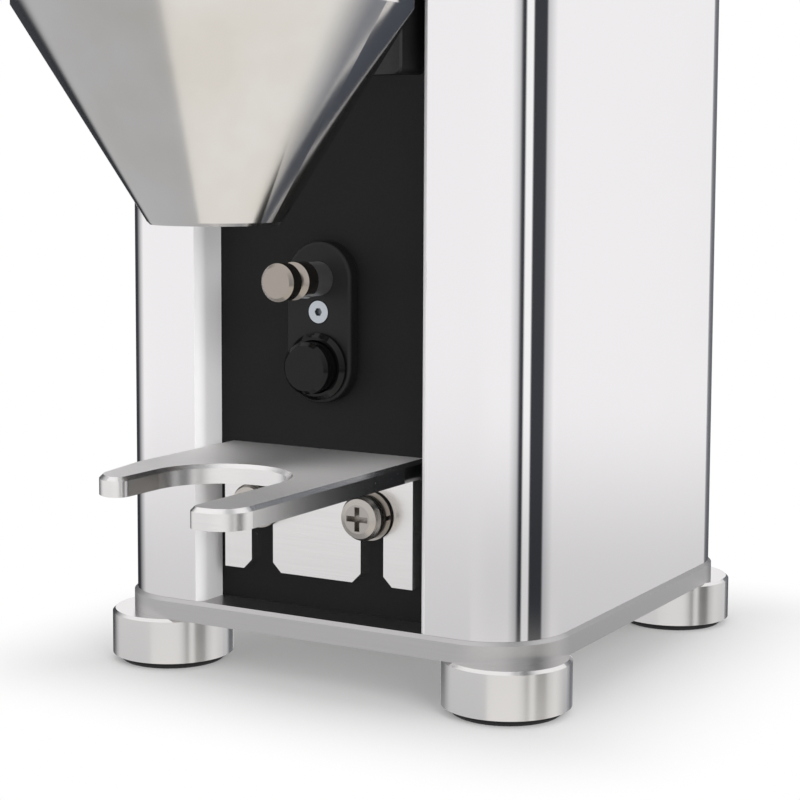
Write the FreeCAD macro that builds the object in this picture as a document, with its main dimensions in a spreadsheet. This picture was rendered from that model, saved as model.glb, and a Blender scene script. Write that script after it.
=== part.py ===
import FreeCAD, Part
import math
import os
from types import SimpleNamespace

import Sketcher
from FreeCAD import Placement, Rotation, Vector

# Driving dimensions in millimetres. Levels are heights above the top of the base plate.
SIZES = {
    # base plate, a flat aluminium slab with vent slots under the motor
    "plate_width": 135.0,
    "plate_depth": 142.5,
    "plate_thickness": 6.0,
    "plate_corner": 21.7,
    "plate_chamfer": 1.0,
    "vent_run": 36.0,
    "vent_width": 4.0,
    "vent_pitch": 9.0,
    # feet, turned discs that stand out past the plate corners
    "foot_diameter": 34.4,
    "foot_height": 12.6,
    "foot_inset": 14.0,
    "foot_chamfer": 0.8,
    "pad_diameter": 30.5,
    "pad_height": 4.0,
    "pad_show": 2.0,
    # posts between the two plates, and the screws at their ends
    "post_diameter": 10.0,
    "post_thread": 14.0,
    "frame_screw": 5.0,
    "frame_head": 8.5,
    "frame_head_height": 4.0,
    # folded body shell and the black panel in its front recess
    "body_height": 222.0,
    "shell_ledge": 0.9,
    "shell_thickness": 1.5,
    "shell_corner": 20.8,
    "shell_bend": 3.0,
    "recess_width": 68.4,
    "recess_depth": 10.25,
    "panel_thickness": 2.0,
    "panel_overlap": 8.0,
    "panel_flange": 14.0,
    "panel_screw": 4.0,
    "panel_head": 7.0,
    "panel_head_height": 2.4,
    # raised oval plate with the pin, its screw and the start button
    "oval_width": 20.0,
    "oval_height": 43.4,
    "oval_thickness": 4.0,
    "oval_edge": 1.0,
    "oval_level": 78.6,
    "oval_screw": 3.0,
    "oval_screw_head": 6.0,
    "oval_screw_length": 9.0,
    "oval_screw_rise": 2.8,
    "oval_socket": 2.0,
    "pin_diameter": 10.0,
    "pin_length": 20.4,
    "pin_disc": 4.6,
    "pin_groove": 3.6,
    "pin_ring": 4.6,
    "pin_neck": 6.6,
    "pin_stem": 6.0,
    "pin_chamfer": 0.9,
    "bezel_diameter": 18.0,
    "bezel_rise": 2.2,
    "barrel_diameter": 16.0,
    "barrel_wall": 0.8,
    "button_rise": 7.0,
    "button_skirt": 9.0,
    "button_wall": 1.6,
    "button_dome": 0.9,
    "button_nut_width": 21.0,
    "button_nut_height": 3.0,
    "spring_wire": 0.8,
    "spring_diameter": 9.0,
    "contact_width": 12.0,
    "contact_height": 14.0,
    "contact_depth": 3.0,
    # portafilter fork: a slotted plate hung from two clamp screws
    "fork_level": 44.1,
    "fork_thickness": 5.0,
    "fork_width": 62.2,
    "fork_gap": 35.6,
    "fork_chamfer": 1.0,
    "long_arm": 88.7,
    "short_arm": 66.6,
    "short_arm_taper": 4.0,
    "short_arm_taper_run": 24.0,
    "tip_outer": 8.0,
    "tip_inner": 3.5,
    "bracket_width": 59.4,
    "bracket_drop": 29.3,
    "bracket_thickness": 5.0,
    "slot_spacing": 34.8,
    "slot_width": 7.0,
    "slot_mouth": 2.6,
    "clamp_level": 28.6,
    "clamp_screw": 6.0,
    "clamp_head": 12.0,
    "clamp_head_height": 4.4,
    "clamp_thread": 7.0,
    "cross_recess": 6.4,
    "cross_width": 1.5,
    "cross_depth": 2.4,
    "washer_diameter": 13.2,
    "washer_thickness": 1.5,
    "spring_washer_diameter": 12.0,
    "spring_washer_thickness": 1.7,
    "spring_washer_split": 1.2,
    # spun cone over the fork, and the holder that carries it by its lip
    "funnel_reach": 50.9,
    "funnel_level": 106.5,
    "funnel_outlet": 33.2,
    "funnel_rim": 96.6,
    "cone_height": 51.7,
    "rim_height": 18.0,
    "funnel_wall": 1.5,
    "lip_width": 2.0,
    "lip_thickness": 2.0,
    "holder_width": 60.0,
    "holder_level": 143.6,
    "holder_height": 59.0,
    "holder_depth": 12.0,
    "holder_edge": 2.0,
    "hoop_height": 12.0,
    "hoop_wall": 4.5,
    "spout_level": 190.0,
    "spout_width": 24.0,
    "spout_height": 18.0,
    "spout_wall": 1.5,
    "spout_overhang": 12.0,
    # grinding chamber hung under the deck plate
    "deck_thickness": 5.0,
    "chamber_level": 180.0,
    "chamber_bore": 76.0,
    "chamber_wall": 5.0,
    "chamber_floor": 6.0,
    "chamber_flange": 10.0,
    "chamber_flange_thickness": 5.0,
    "neck_rise": 5.0,
    "chamber_screw": 4.0,
    "chamber_screw_head": 7.5,
    # flat burrs and what carries them
    "burr_diameter": 64.0,
    "burr_bore": 40.0,
    "burr_thickness": 8.0,
    "burr_gap": 0.4,
    "burr_mouth": 4.0,
    "burr_groove_depth": 1.4,
    "burr_groove_width": 2.2,
    "carrier_clear": 3.0,
    "carrier_thickness": 8.0,
    "sweeper_length": 5.0,
    "sweeper_width": 6.0,
    "carrier_nut_width": 16.0,
    "carrier_nut_height": 6.0,
    "upper_carrier_floor": 6.0,
    "upper_carrier_height": 17.6,
    # motor under the chamber
    "motor_diameter": 84.0,
    "motor_length": 104.0,
    "motor_wall": 2.0,
    "bell_thickness": 10.0,
    "bell_floor": 3.0,
    "core_length": 70.0,
    "rotor_diameter": 52.0,
    "air_gap": 0.5,
    "winding_height": 13.0,
    "winding_margin": 2.0,
    "shaft_diameter": 12.0,
    "shaft_end": 8.0,
    "bearing_diameter": 32.0,
    "motor_screw_circle": 60.0,
    # adjusting collar on the chamber neck
    "collar_wall": 7.0,
    "collar_height": 22.5,
    "collar_clear": 0.5,
    "collar_edge": 1.2,
    "sleeve_wall": 3.6,
    "sleeve_clear": 2.0,
    "web_clear": 2.0,
    "flute_width": 3.0,
    "flute_depth": 0.9,
    "index_diameter": 3.0,
    "index_offset": 4.0,
    "index_rise": 1.2,
    # hopper with its gate and lid
    "throat_diameter": 50.0,
    "hopper_neck": 56.0,
    "spigot_length": 14.0,
    "base_diameter": 84.0,
    "base_height": 12.0,
    "gate_thickness": 2.0,
    "gate_width": 52.0,
    "gate_level": 5.0,
    "gate_tab": 12.0,
    "gate_tab_width": 26.0,
    "bowl_diameter": 118.0,
    "bowl_foot": 64.0,
    "bowl_cone": 30.0,
    "bowl_height": 88.0,
    "bowl_wall": 2.5,
    "lid_thickness": 4.0,
    "lid_skirt": 8.0,
    "lid_edge": 1.5,
    "lid_knob": 26.0,
    "lid_knob_height": 11.0,
    # electrical pieces at the foot of the tower
    "capacitor_diameter": 30.0,
    "capacitor_height": 42.0,
    "capacitor_offset": 30.0,
    "capacitor_stud": 8.0,
    "back_level": 30.0,
    "gland_offset": 26.0,
    "gland_diameter": 16.0,
    "gland_flange": 22.0,
    "gland_flange_height": 4.0,
    "gland_depth": 14.0,
    "gland_bore": 8.0,
    "gland_nut_height": 5.0,
    "rocker_offset": 26.0,
    "rocker_width": 10.0,
    "rocker_height": 14.0,
    "rocker_rise": 1.5,
    "rocker_tilt": 9.0,
    "rocker_pin": 2.4,
    "switch_wall": 2.0,
    "switch_flange": 2.0,
    "switch_depth": 16.0,
    # clearances
    "free_gap": 0.3,
    "motor_clear": 2.1,
    "running_gap": 0.05,
    "thread_gap": 0.05,
    "slide_gap": 0.1,
}

COLLAR_FLUTES = 40
BURR_GROOVES = 24
SWEEPERS = 3
RING_SCREWS = 4
VENT_SLOTS = 5
SAME_PLACE = 1e-3


class Size:
    """A length that carries its number together with the sheet expression it comes from."""

    def __init__(self, number, text):
        self.number = float(number)
        self.text = text

    def __add__(self, other):
        other = sized(other)
        return Size(self.number + other.number, f"({self.text} + {other.text})")

    def __sub__(self, other):
        other = sized(other)
        return Size(self.number - other.number, f"({self.text} - {other.text})")

    def __mul__(self, other):
        other = sized(other)
        return Size(self.number * other.number, f"({self.text} * {other.text})")

    def __truediv__(self, other):
        other = sized(other)
        return Size(self.number / other.number, f"({self.text} / {other.text})")

    def __radd__(self, other):
        return sized(other) + self

    def __rsub__(self, other):
        return sized(other) - self

    def __rmul__(self, other):
        return sized(other) * self

    def __neg__(self):
        return sized(0) - self


def sized(value):
    if isinstance(value, Size):
        return value
    return Size(value, repr(float(value)))


doc = FreeCAD.newDocument("coffee_grinder")
sheet = doc.addObject("Spreadsheet::Sheet", "sizes")
s = SimpleNamespace()
for row, (size_name, size_value) in enumerate(SIZES.items(), 1):
    sheet.set(f"A{row}", size_name)
    sheet.set(f"B{row}", str(size_value))
    sheet.setAlias(f"B{row}", size_name)
    setattr(s, size_name, Size(size_value, f"sizes.{size_name}"))
doc.recompute()

nodes = {}


def bind(item, field, value):
    item.setExpression(field, sized(value).text)


def new_body(label):
    body = doc.addObject("PartDesign::Body", label)
    body.Label = label
    return body


def sketch_on(body, role, offset=0):
    sketch = body.newObject("Sketcher::SketchObject", f"{body.Label}_sketch")
    plane = next(item for item in body.Origin.OriginFeatures if item.Role == role)
    sketch.AttachmentSupport = [(plane, "")]
    sketch.MapMode = "FlatFace"
    bind(sketch, "AttachmentOffset.Base.z", offset)
    return sketch


def tie(sketch, kind, *places, value):
    index = sketch.addConstraint(Sketcher.Constraint(kind, *places, sized(value).number))
    bind(sketch, f"Constraints[{index}]", value)


def tie_point(sketch, edge, end, x, y):
    tie(sketch, "DistanceX", -1, 1, edge, end, value=x)
    tie(sketch, "DistanceY", -1, 1, edge, end, value=y)


def outline(sketch, corners):
    """A closed outline of straight edges, every corner tied to its own pair of sizes."""
    spots = [Vector(sized(x).number, sized(y).number, 0) for x, y in corners]
    edges = []
    for start, end in zip(spots, spots[1:] + spots[:1]):
        edges.append(sketch.addGeometry(Part.LineSegment(start, end)))
    for edge, following in zip(edges, edges[1:] + edges[:1]):
        sketch.addConstraint(Sketcher.Constraint("Coincident", edge, 2, following, 1))
    for edge, (x, y) in zip(edges, corners):
        tie_point(sketch, edge, 1, x, y)


def rectangle(sketch, x_low, y_low, x_high, y_high):
    outline(sketch, [(x_low, y_low), (x_high, y_low), (x_high, y_high), (x_low, y_high)])


def circle(sketch, x, y, radius):
    centre = Vector(sized(x).number, sized(y).number, 0)
    edge = sketch.addGeometry(Part.Circle(centre, Vector(0, 0, 1), sized(radius).number))
    tie_point(sketch, edge, 3, x, y)
    tie(sketch, "Radius", edge, value=radius)


def obround(sketch, x, y, half_run, radius, upright):
    """A slot shape: two half circles joined by straight sides."""
    run_x, run_y = (sized(0), half_run) if upright else (half_run, sized(0))
    turn = 0 if upright else -math.pi / 2
    far = (x + run_x, y + run_y)
    near = (x - run_x, y - run_y)
    arcs = []
    for (centre_x, centre_y), start in ((far, turn), (near, turn + math.pi)):
        ring = Part.Circle(Vector(centre_x.number, centre_y.number, 0), Vector(0, 0, 1), radius.number)
        arcs.append(sketch.addGeometry(Part.ArcOfCircle(ring, start, start + math.pi)))
    ends = [sketch.getPoint(arc, end) for arc in arcs for end in (1, 2)]
    sides = [
        sketch.addGeometry(Part.LineSegment(ends[1], ends[2])),
        sketch.addGeometry(Part.LineSegment(ends[3], ends[0])),
    ]
    sketch.addConstraint(Sketcher.Constraint("Tangent", arcs[0], 2, sides[0], 1))
    sketch.addConstraint(Sketcher.Constraint("Tangent", sides[0], 2, arcs[1], 1))
    sketch.addConstraint(Sketcher.Constraint("Tangent", arcs[1], 2, sides[1], 1))
    sketch.addConstraint(Sketcher.Constraint("Tangent", sides[1], 2, arcs[0], 1))
    for arc, (centre_x, centre_y) in zip(arcs, (far, near)):
        tie_point(sketch, arc, 3, centre_x, centre_y)
        tie(sketch, "Radius", arc, value=radius)


def hexagon(sketch, across):
    """A hexagon round the sketch origin, given its width across flats."""
    half = across / 2
    tip = across / math.sqrt(3)
    corners = [(tip, 0), (tip / 2, half), (-tip / 2, half)]
    corners += [(-tip, 0), (-tip / 2, -half), (tip / 2, -half)]
    outline(sketch, corners)


def pad(body, sketch, length, reverse=False, both_ways=False):
    feature = body.newObject("PartDesign::Pad", f"{body.Label}_pad")
    feature.Profile = sketch
    bind(feature, "Length", length)
    feature.Reversed = reverse
    feature.Midplane = both_ways
    sketch.Visibility = False
    doc.recompute()
    return feature


def cut(body, sketch, length, reverse=False, both_ways=False):
    """A pocket, checked to have taken material away."""
    before = body.Shape.Volume
    feature = body.newObject("PartDesign::Pocket", f"{body.Label}_pocket")
    feature.Profile = sketch
    bind(feature, "Length", length)
    feature.Reversed = reverse
    feature.Midplane = both_ways
    doc.recompute()
    if body.Shape.Volume > before - 1e-6:
        raise RuntimeError(f"a pocket of {body.Label} cuts nothing")
    return feature


def revolve(body, profile):
    """A turned solid about the body's own Z axis, from a profile of radii and heights."""
    sketch = sketch_on(body, "XZ_Plane")
    outline(sketch, profile)
    feature = body.newObject("PartDesign::Revolution", f"{body.Label}_turning")
    feature.Profile = sketch
    feature.ReferenceAxis = (sketch, ["V_Axis"])
    feature.Angle = 360
    doc.recompute()
    return feature


def edges_where(feature, test):
    return [f"Edge{index}" for index, edge in enumerate(feature.Shape.Edges, 1) if test(edge)]


def stands_upright(edge):
    ends = [vertex.Point for vertex in edge.Vertexes]
    return len(ends) == 2 and abs(ends[0].z - ends[1].z) > SAME_PLACE


def stands_at(edge, x, y):
    """True for an upright edge over the given point."""
    if not stands_upright(edge):
        return False
    foot = edge.Vertexes[0].Point
    return math.hypot(foot.x - sized(x).number, foot.y - sized(y).number) < SAME_PLACE


def lies_at(edge, axis, place):
    """True for an edge that lies wholly in the plane across one axis."""
    spots = edge.discretize(5)
    return all(abs(spot[axis] - sized(place).number) < SAME_PLACE for spot in spots)


def round_edges(body, feature, names, radius):
    fillet = body.newObject("PartDesign::Fillet", f"{body.Label}_round")
    fillet.Base = (feature, names)
    bind(fillet, "Radius", radius)
    doc.recompute()
    return fillet


def bevel_edges(body, feature, names, size):
    chamfer = body.newObject("PartDesign::Chamfer", f"{body.Label}_bevel")
    chamfer.Base = (feature, names)
    bind(chamfer, "Size", size)
    doc.recompute()
    return chamfer


def origin_axis(body, role):
    return next(item for item in body.Origin.OriginFeatures if item.Role == role)


def spread(body, originals, span_x, span_y=None):
    """Copies of a feature at the two or four corners of a rectangle."""
    steps = []
    for role, span in (("X_Axis", span_x), ("Y_Axis", span_y)):
        if span is None:
            continue
        step = body.newObject("PartDesign::LinearPattern", f"{body.Label}_row")
        step.Direction = (origin_axis(body, role), [""])
        bind(step, "Length", span)
        step.Occurrences = 2
        steps.append(step)
    if len(steps) == 1:
        steps[0].Originals = originals
        body.Tip = steps[0]
    else:
        grid = body.newObject("PartDesign::MultiTransform", f"{body.Label}_grid")
        grid.Originals = originals
        grid.Transformations = steps
        body.Tip = grid
    doc.recompute()


def around(body, originals, count):
    ring = body.newObject("PartDesign::PolarPattern", f"{body.Label}_circle")
    ring.Originals = originals
    ring.Axis = (origin_axis(body, "Z_Axis"), [""])
    ring.Angle = 360
    ring.Occurrences = round(count)
    body.Tip = ring
    doc.recompute()
    return ring


FACING = {
    "up": Rotation(),
    "front": Rotation(Vector(1, 0, 0), 90),
    "back": Rotation(Vector(1, 0, 0), -90),
}


def place(item, x=0, y=0, z=0, facing="up"):
    """Sets a piece in the frame. Its y is measured from the centre of the base plate."""
    item.Placement = Placement(Vector(0, 0, 0), FACING[facing])
    bind(item, "Placement.Base.x", x)
    bind(item, "Placement.Base.y", plate_y + y)
    bind(item, "Placement.Base.z", z)
    doc.recompute()
    nodes[item.Label] = item


# Heights above the surface that the pads rest on, and distances from the plate's centre.
plate_low = s.pad_show + s.foot_height
plate_top = plate_low + s.plate_thickness
shell_top = plate_top + s.body_height
deck_top = shell_top + s.deck_thickness
shell_side = s.plate_width / 2 - s.shell_ledge
shell_face = s.plate_depth / 2 - s.shell_ledge
panel_face = shell_face - s.recess_depth
panel_back = panel_face - s.panel_thickness
foot_x = s.plate_width / 2 - s.foot_inset
foot_y = s.plate_depth / 2 - s.foot_inset
funnel_axis = panel_face + s.funnel_reach
funnel_low = plate_top + s.funnel_level
rim_low = funnel_low + s.cone_height
lip_low = rim_low + s.rim_height
hoop_bore = s.funnel_rim / 2 + s.free_gap
hoop_radius = hoop_bore + s.hoop_wall
chamber_base = plate_top + s.chamber_level
chamber_radius = s.chamber_bore / 2 + s.chamber_wall
carrier_low = chamber_base + s.carrier_clear
carrier_top = carrier_low + s.carrier_thickness
lower_burr_top = carrier_top + s.burr_thickness
upper_burr_low = lower_burr_top + s.burr_gap
upper_carrier_low = upper_burr_low + s.burr_thickness
bell_top = chamber_base - s.chamber_floor
can_top = bell_top - s.bell_thickness
can_low = can_top - s.motor_length
core_low = can_low + (s.motor_length - s.core_length) / 2
core_top = core_low + s.core_length
bell_low = can_low - s.bell_thickness - s.bell_floor
neck_top = deck_top + s.neck_rise
collar_low = deck_top + s.collar_clear
collar_top = collar_low + s.collar_height
collar_bore = chamber_radius + s.running_gap
collar_radius = collar_bore + s.collar_wall
sleeve_bore = s.hopper_neck / 2 + s.free_gap
sleeve_radius = sleeve_bore + s.sleeve_wall
base_top = collar_top + s.base_height
bowl_top = base_top + s.bowl_height
frame_screw = s.frame_screw / 2

# The frame's origin lies under the middle of the whole outline, so the plate stands behind it.
front_reach = funnel_axis + hoop_radius
back_reach = foot_y + s.foot_diameter / 2
plate_y = (front_reach - back_reach) / 2


def make_base_plate():
    body = new_body("base_plate")
    sketch = sketch_on(body, "XY_Plane")
    rectangle(sketch, -s.plate_width / 2, -s.plate_depth / 2, s.plate_width / 2, s.plate_depth / 2)
    slab = pad(body, sketch, s.plate_thickness)
    corners = edges_where(slab, stands_upright)
    rounded = round_edges(body, slab, corners, s.plate_corner)
    rim = edges_where(rounded, lambda edge: lies_at(edge, 2, s.plate_thickness))
    bevel_edges(body, rounded, rim, s.plate_chamfer)
    holes = sketch_on(body, "XY_Plane")
    for side in (-1, 1):
        for end in (-1, 1):
            circle(holes, side * foot_x, end * foot_y, frame_screw + s.thread_gap)
        circle(holes, side * panel_screw_x, -panel_screw_y, s.panel_screw / 2 + s.free_gap)
    circle(holes, s.capacitor_offset, s.capacitor_offset, s.capacitor_stud / 2 + s.free_gap)
    for slot in range(VENT_SLOTS):
        across = (slot - (VENT_SLOTS - 1) / 2) * s.vent_pitch
        obround(holes, -s.vent_pitch, across, s.vent_run / 2, s.vent_width / 2, upright=False)
    cut(body, holes, s.plate_thickness, reverse=True)
    heads = sketch_on(body, "XY_Plane")
    for side in (-1, 1):
        circle(heads, side * panel_screw_x, -panel_screw_y, s.panel_head / 2 + s.free_gap)
    cut(body, heads, s.panel_head_height + s.free_gap, reverse=True)
    place(body, z=plate_low)


def make_feet():
    seat = s.pad_diameter / 2 + s.slide_gap
    head = s.frame_head / 2
    head_top = s.pad_height + s.frame_head_height
    disc = new_body("foot_discs")
    foot_radius = s.foot_diameter / 2
    turning = revolve(disc, [
        (seat, s.pad_show),
        (foot_radius, s.pad_show),
        (foot_radius, plate_low - s.foot_chamfer),
        (foot_radius - s.foot_chamfer, plate_low),
        (frame_screw + s.free_gap, plate_low),
        (frame_screw + s.free_gap, head_top),
        (head + s.free_gap, head_top),
        (head + s.free_gap, s.pad_height),
        (seat, s.pad_height),
    ])
    spread(disc, [turning], foot_x * 2, foot_y * 2)
    place(disc, x=-foot_x, y=-foot_y)
    rubber = new_body("foot_pads")
    pad_radius = s.pad_diameter / 2
    turning = revolve(rubber, [
        (0, 0),
        (pad_radius - s.foot_chamfer, 0),
        (pad_radius, s.foot_chamfer),
        (pad_radius, s.pad_height),
        (0, s.pad_height),
    ])
    spread(rubber, [turning], foot_x * 2, foot_y * 2)
    place(rubber, x=-foot_x, y=-foot_y)
    screw = new_body("foot_screws")
    screw_end = plate_top + s.post_thread - s.free_gap
    turning = revolve(screw, [
        (0, s.pad_height),
        (head, s.pad_height),
        (head, head_top),
        (frame_screw, head_top),
        (frame_screw, screw_end),
        (0, screw_end),
    ])
    spread(screw, [turning], foot_x * 2, foot_y * 2)
    place(screw, x=-foot_x, y=-foot_y)


def make_posts():
    post = new_body("posts")
    radius = s.post_diameter / 2
    bore = frame_screw + s.thread_gap
    turning = revolve(post, [
        (bore, plate_top),
        (radius, plate_top),
        (radius, shell_top),
        (bore, shell_top),
        (bore, shell_top - s.post_thread),
        (0, shell_top - s.post_thread),
        (0, plate_top + s.post_thread),
        (bore, plate_top + s.post_thread),
    ])
    spread(post, [turning], foot_x * 2, foot_y * 2)
    place(post, x=-foot_x, y=-foot_y)


def make_body_shell():
    body = new_body("body_shell")
    wall = s.recess_width / 2
    skin = s.shell_thickness
    sketch = sketch_on(body, "XY_Plane")
    right = [
        (wall, -panel_face),
        (wall, -shell_face),
        (shell_side, -shell_face),
        (shell_side, shell_face),
    ]
    inside = [
        (wall + skin, -panel_face),
        (wall + skin, skin - shell_face),
        (shell_side - skin, skin - shell_face),
        (shell_side - skin, shell_face - skin),
    ]
    mirror = [(-x, y) for x, y in reversed(right)]
    mirror_inside = [(-x, y) for x, y in inside]
    outline(sketch, right + mirror + mirror_inside + list(reversed(inside)))
    feature = pad(body, sketch, s.body_height)
    bends = [
        (right[1], s.shell_bend),
        (inside[1], s.shell_bend - skin),
        (right[2], s.shell_corner),
        (right[3], s.shell_corner),
        (inside[2], s.shell_corner - skin),
        (inside[3], s.shell_corner - skin),
    ]
    for (x, y), radius in bends:
        pair = edges_where(feature, lambda edge: stands_at(edge, x, y) or stands_at(edge, -x, y))
        feature = round_edges(body, feature, pair, radius)
    back = sketch_on(body, "XZ_Plane")
    circle(back, s.gland_offset, s.back_level, s.gland_diameter / 2 + s.free_gap)
    window_x = s.rocker_width / 2 + s.free_gap + s.switch_wall + s.free_gap
    window_z = s.rocker_height / 2 + s.rocker_rise + s.switch_wall + s.free_gap
    rectangle(
        back,
        -s.rocker_offset - window_x,
        s.back_level - window_z,
        -s.rocker_offset + window_x,
        s.back_level + window_z,
    )
    cut(body, back, s.plate_depth)
    place(body, z=plate_top)


panel_screw_x = s.recess_width / 2
panel_screw_y = panel_back - s.panel_flange / 2


def make_front_panel():
    body = new_body("front_panel")
    sketch = sketch_on(body, "YZ_Plane")
    flange_end = -panel_back + s.panel_flange
    outline(sketch, [
        (-panel_face, 0),
        (flange_end, 0),
        (flange_end, s.panel_thickness),
        (-panel_back, s.panel_thickness),
        (-panel_back, s.body_height),
        (-panel_face, s.body_height),
    ])
    pad(body, sketch, s.recess_width + s.panel_overlap * 2, both_ways=True)
    flange = sketch_on(body, "XY_Plane")
    for side in (-1, 1):
        circle(flange, side * panel_screw_x, -panel_screw_y, s.panel_screw / 2 + s.thread_gap)
    cut(body, flange, s.panel_thickness, reverse=True)
    holes = sketch_on(body, "XZ_Plane")
    for side in (-1, 1):
        circle(holes, side * s.slot_spacing / 2, s.clamp_level, s.clamp_screw / 2 + s.thread_gap)
    circle(holes, 0, pin_level, s.pin_stem / 2 + s.thread_gap)
    circle(holes, 0, oval_screw_level, s.oval_screw / 2 + s.thread_gap)
    circle(holes, 0, button_level, s.barrel_diameter / 2 + s.free_gap)
    window_x = s.spout_width / 2 + s.free_gap
    window_z = s.spout_height / 2 + s.free_gap
    rectangle(holes, -window_x, s.spout_level - window_z, window_x, s.spout_level + window_z)
    cut(body, holes, s.plate_depth, reverse=True)
    place(body, z=plate_top)
    screw = new_body("panel_screws")
    head = s.panel_head / 2
    head_low = plate_low + s.free_gap
    head_top = head_low + s.panel_head_height
    screw_end = plate_top + s.panel_thickness + s.panel_screw / 2
    turning = revolve(screw, [
        (0, head_low),
        (head, head_low),
        (head, head_top),
        (s.panel_screw / 2, head_top),
        (s.panel_screw / 2, screw_end),
        (0, screw_end),
    ])
    spread(screw, [turning], panel_screw_x * 2)
    place(screw, x=-panel_screw_x, y=-panel_screw_y)


# Heights of the pieces on the oval plate: the pin and the button sit at the centres of its round ends.
oval_reach = s.oval_height / 2 - s.oval_width / 2
pin_level = s.oval_level + oval_reach
button_level = s.oval_level - oval_reach
oval_screw_level = s.oval_level + s.oval_screw_rise
oval_face = panel_face + s.oval_thickness


def make_switch_plate():
    body = new_body("switch_plate")
    sketch = sketch_on(body, "XZ_Plane")
    obround(sketch, sized(0), s.oval_level, oval_reach, s.oval_width / 2, upright=True)
    feature = pad(body, sketch, s.oval_thickness)
    rim = edges_where(feature, lambda edge: lies_at(edge, 1, -s.oval_thickness))
    feature = round_edges(body, feature, rim, s.oval_edge)
    holes = sketch_on(body, "XZ_Plane")
    circle(holes, 0, pin_level, s.pin_stem / 2 + s.thread_gap)
    circle(holes, 0, oval_screw_level, s.oval_screw / 2 + s.free_gap)
    circle(holes, 0, button_level, s.barrel_diameter / 2 + s.free_gap)
    feature = cut(body, holes, s.oval_thickness, reverse=True)
    hole = s.oval_screw / 2 + s.free_gap

    def rings_screw(edge):
        if not lies_at(edge, 1, -s.oval_thickness):
            return False
        return abs(edge.Length - 2 * math.pi * hole.number) < SAME_PLACE

    sink = s.oval_screw_head / 2 + s.free_gap - hole
    bevel_edges(body, feature, edges_where(feature, rings_screw), sink)
    place(body, y=-panel_face, z=plate_top)
    screw = new_body("plate_screw")
    head = s.oval_screw_head / 2
    shank = s.oval_screw / 2
    revolve(screw, [
        (0, -s.oval_screw_length),
        (shank, -s.oval_screw_length),
        (shank, shank - head),
        (head, 0),
        (0, 0),
    ])
    socket = sketch_on(screw, "XY_Plane")
    hexagon(socket, s.oval_socket)
    cut(screw, socket, s.oval_socket / 2)
    place(screw, y=-oval_face, z=plate_top + oval_screw_level, facing="front")


def make_hold_down_pin():
    body = new_body("hold_down_pin")
    radius = s.pin_diameter / 2
    stem = s.pin_stem / 2
    groove_high = s.pin_length - s.pin_disc
    groove_low = groove_high - s.pin_groove
    ring_low = groove_low - s.pin_ring
    seat = s.oval_thickness + s.panel_thickness + s.pin_stem / 2
    revolve(body, [
        (0, -seat),
        (stem, -seat),
        (stem, 0),
        (radius - s.pin_chamfer / 2, 0),
        (radius - s.pin_chamfer / 2, ring_low),
        (radius, ring_low),
        (radius, groove_low),
        (s.pin_neck / 2, groove_low + s.pin_chamfer),
        (s.pin_neck / 2, groove_high - s.pin_chamfer),
        (radius, groove_high),
        (radius, s.pin_length - s.pin_chamfer),
        (radius - s.pin_chamfer, s.pin_length),
        (0, s.pin_length),
    ])
    place(body, y=-oval_face, z=plate_top + pin_level, facing="front")


def make_start_button():
    barrel = s.barrel_diameter / 2
    bore = barrel - s.barrel_wall
    depth = oval_face - s.motor_diameter / 2 - s.motor_clear - s.contact_depth
    floor = depth - s.barrel_wall * 2
    bezel = new_body("button_bezel")
    flange = s.bezel_diameter / 2
    revolve(bezel, [
        (0, -depth),
        (barrel, -depth),
        (barrel, 0),
        (flange, 0),
        (flange, s.bezel_rise / 2),
        (flange - s.bezel_rise / 2, s.bezel_rise),
        (bore, s.bezel_rise),
        (bore, -floor),
        (0, -floor),
    ])
    place(bezel, y=-oval_face, z=plate_top + button_level, facing="front")
    cap = new_body("button_cap")
    radius = bore - s.free_gap
    lip = s.button_rise - s.button_dome
    skirt = lip - s.button_skirt
    hollow = radius - s.button_wall
    revolve(cap, [
        (hollow, skirt),
        (radius, skirt),
        (radius, lip),
        (radius - s.button_dome, s.button_rise),
        (0, s.button_rise),
        (0, lip - s.button_wall),
        (hollow, lip - s.button_wall),
    ])
    place(cap, y=-oval_face, z=plate_top + button_level, facing="front")
    nut = new_body("button_nut")
    sketch = sketch_on(nut, "XY_Plane")
    hexagon(sketch, s.button_nut_width)
    circle(sketch, 0, 0, barrel + s.thread_gap)
    pad(nut, sketch, s.button_nut_height, reverse=True)
    place(nut, y=-panel_back, z=plate_top + button_level, facing="front")
    block = new_body("contact_block")
    sketch = sketch_on(block, "XY_Plane")
    half_x = s.contact_width / 2
    half_z = s.contact_height / 2
    rectangle(sketch, -half_x, -half_z, half_x, half_z)
    pad(block, sketch, s.contact_depth, reverse=True)
    place(block, y=depth - oval_face, z=plate_top + button_level, facing="front")
    make_button_spring(floor, lip - s.button_wall)


def make_button_spring(floor, ceiling):
    """The space that the return coil takes between the barrel's floor and the underside of the cap."""
    body = new_body("button_spring")
    outside = s.spring_diameter / 2
    inside = outside - s.spring_wire
    rise = floor + ceiling - s.free_gap
    revolve(body, [(inside, 0), (outside, 0), (outside, rise), (inside, rise)])
    seat = oval_face - floor + s.free_gap / 2
    place(body, y=-seat, z=plate_top + button_level, facing="front")


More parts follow.
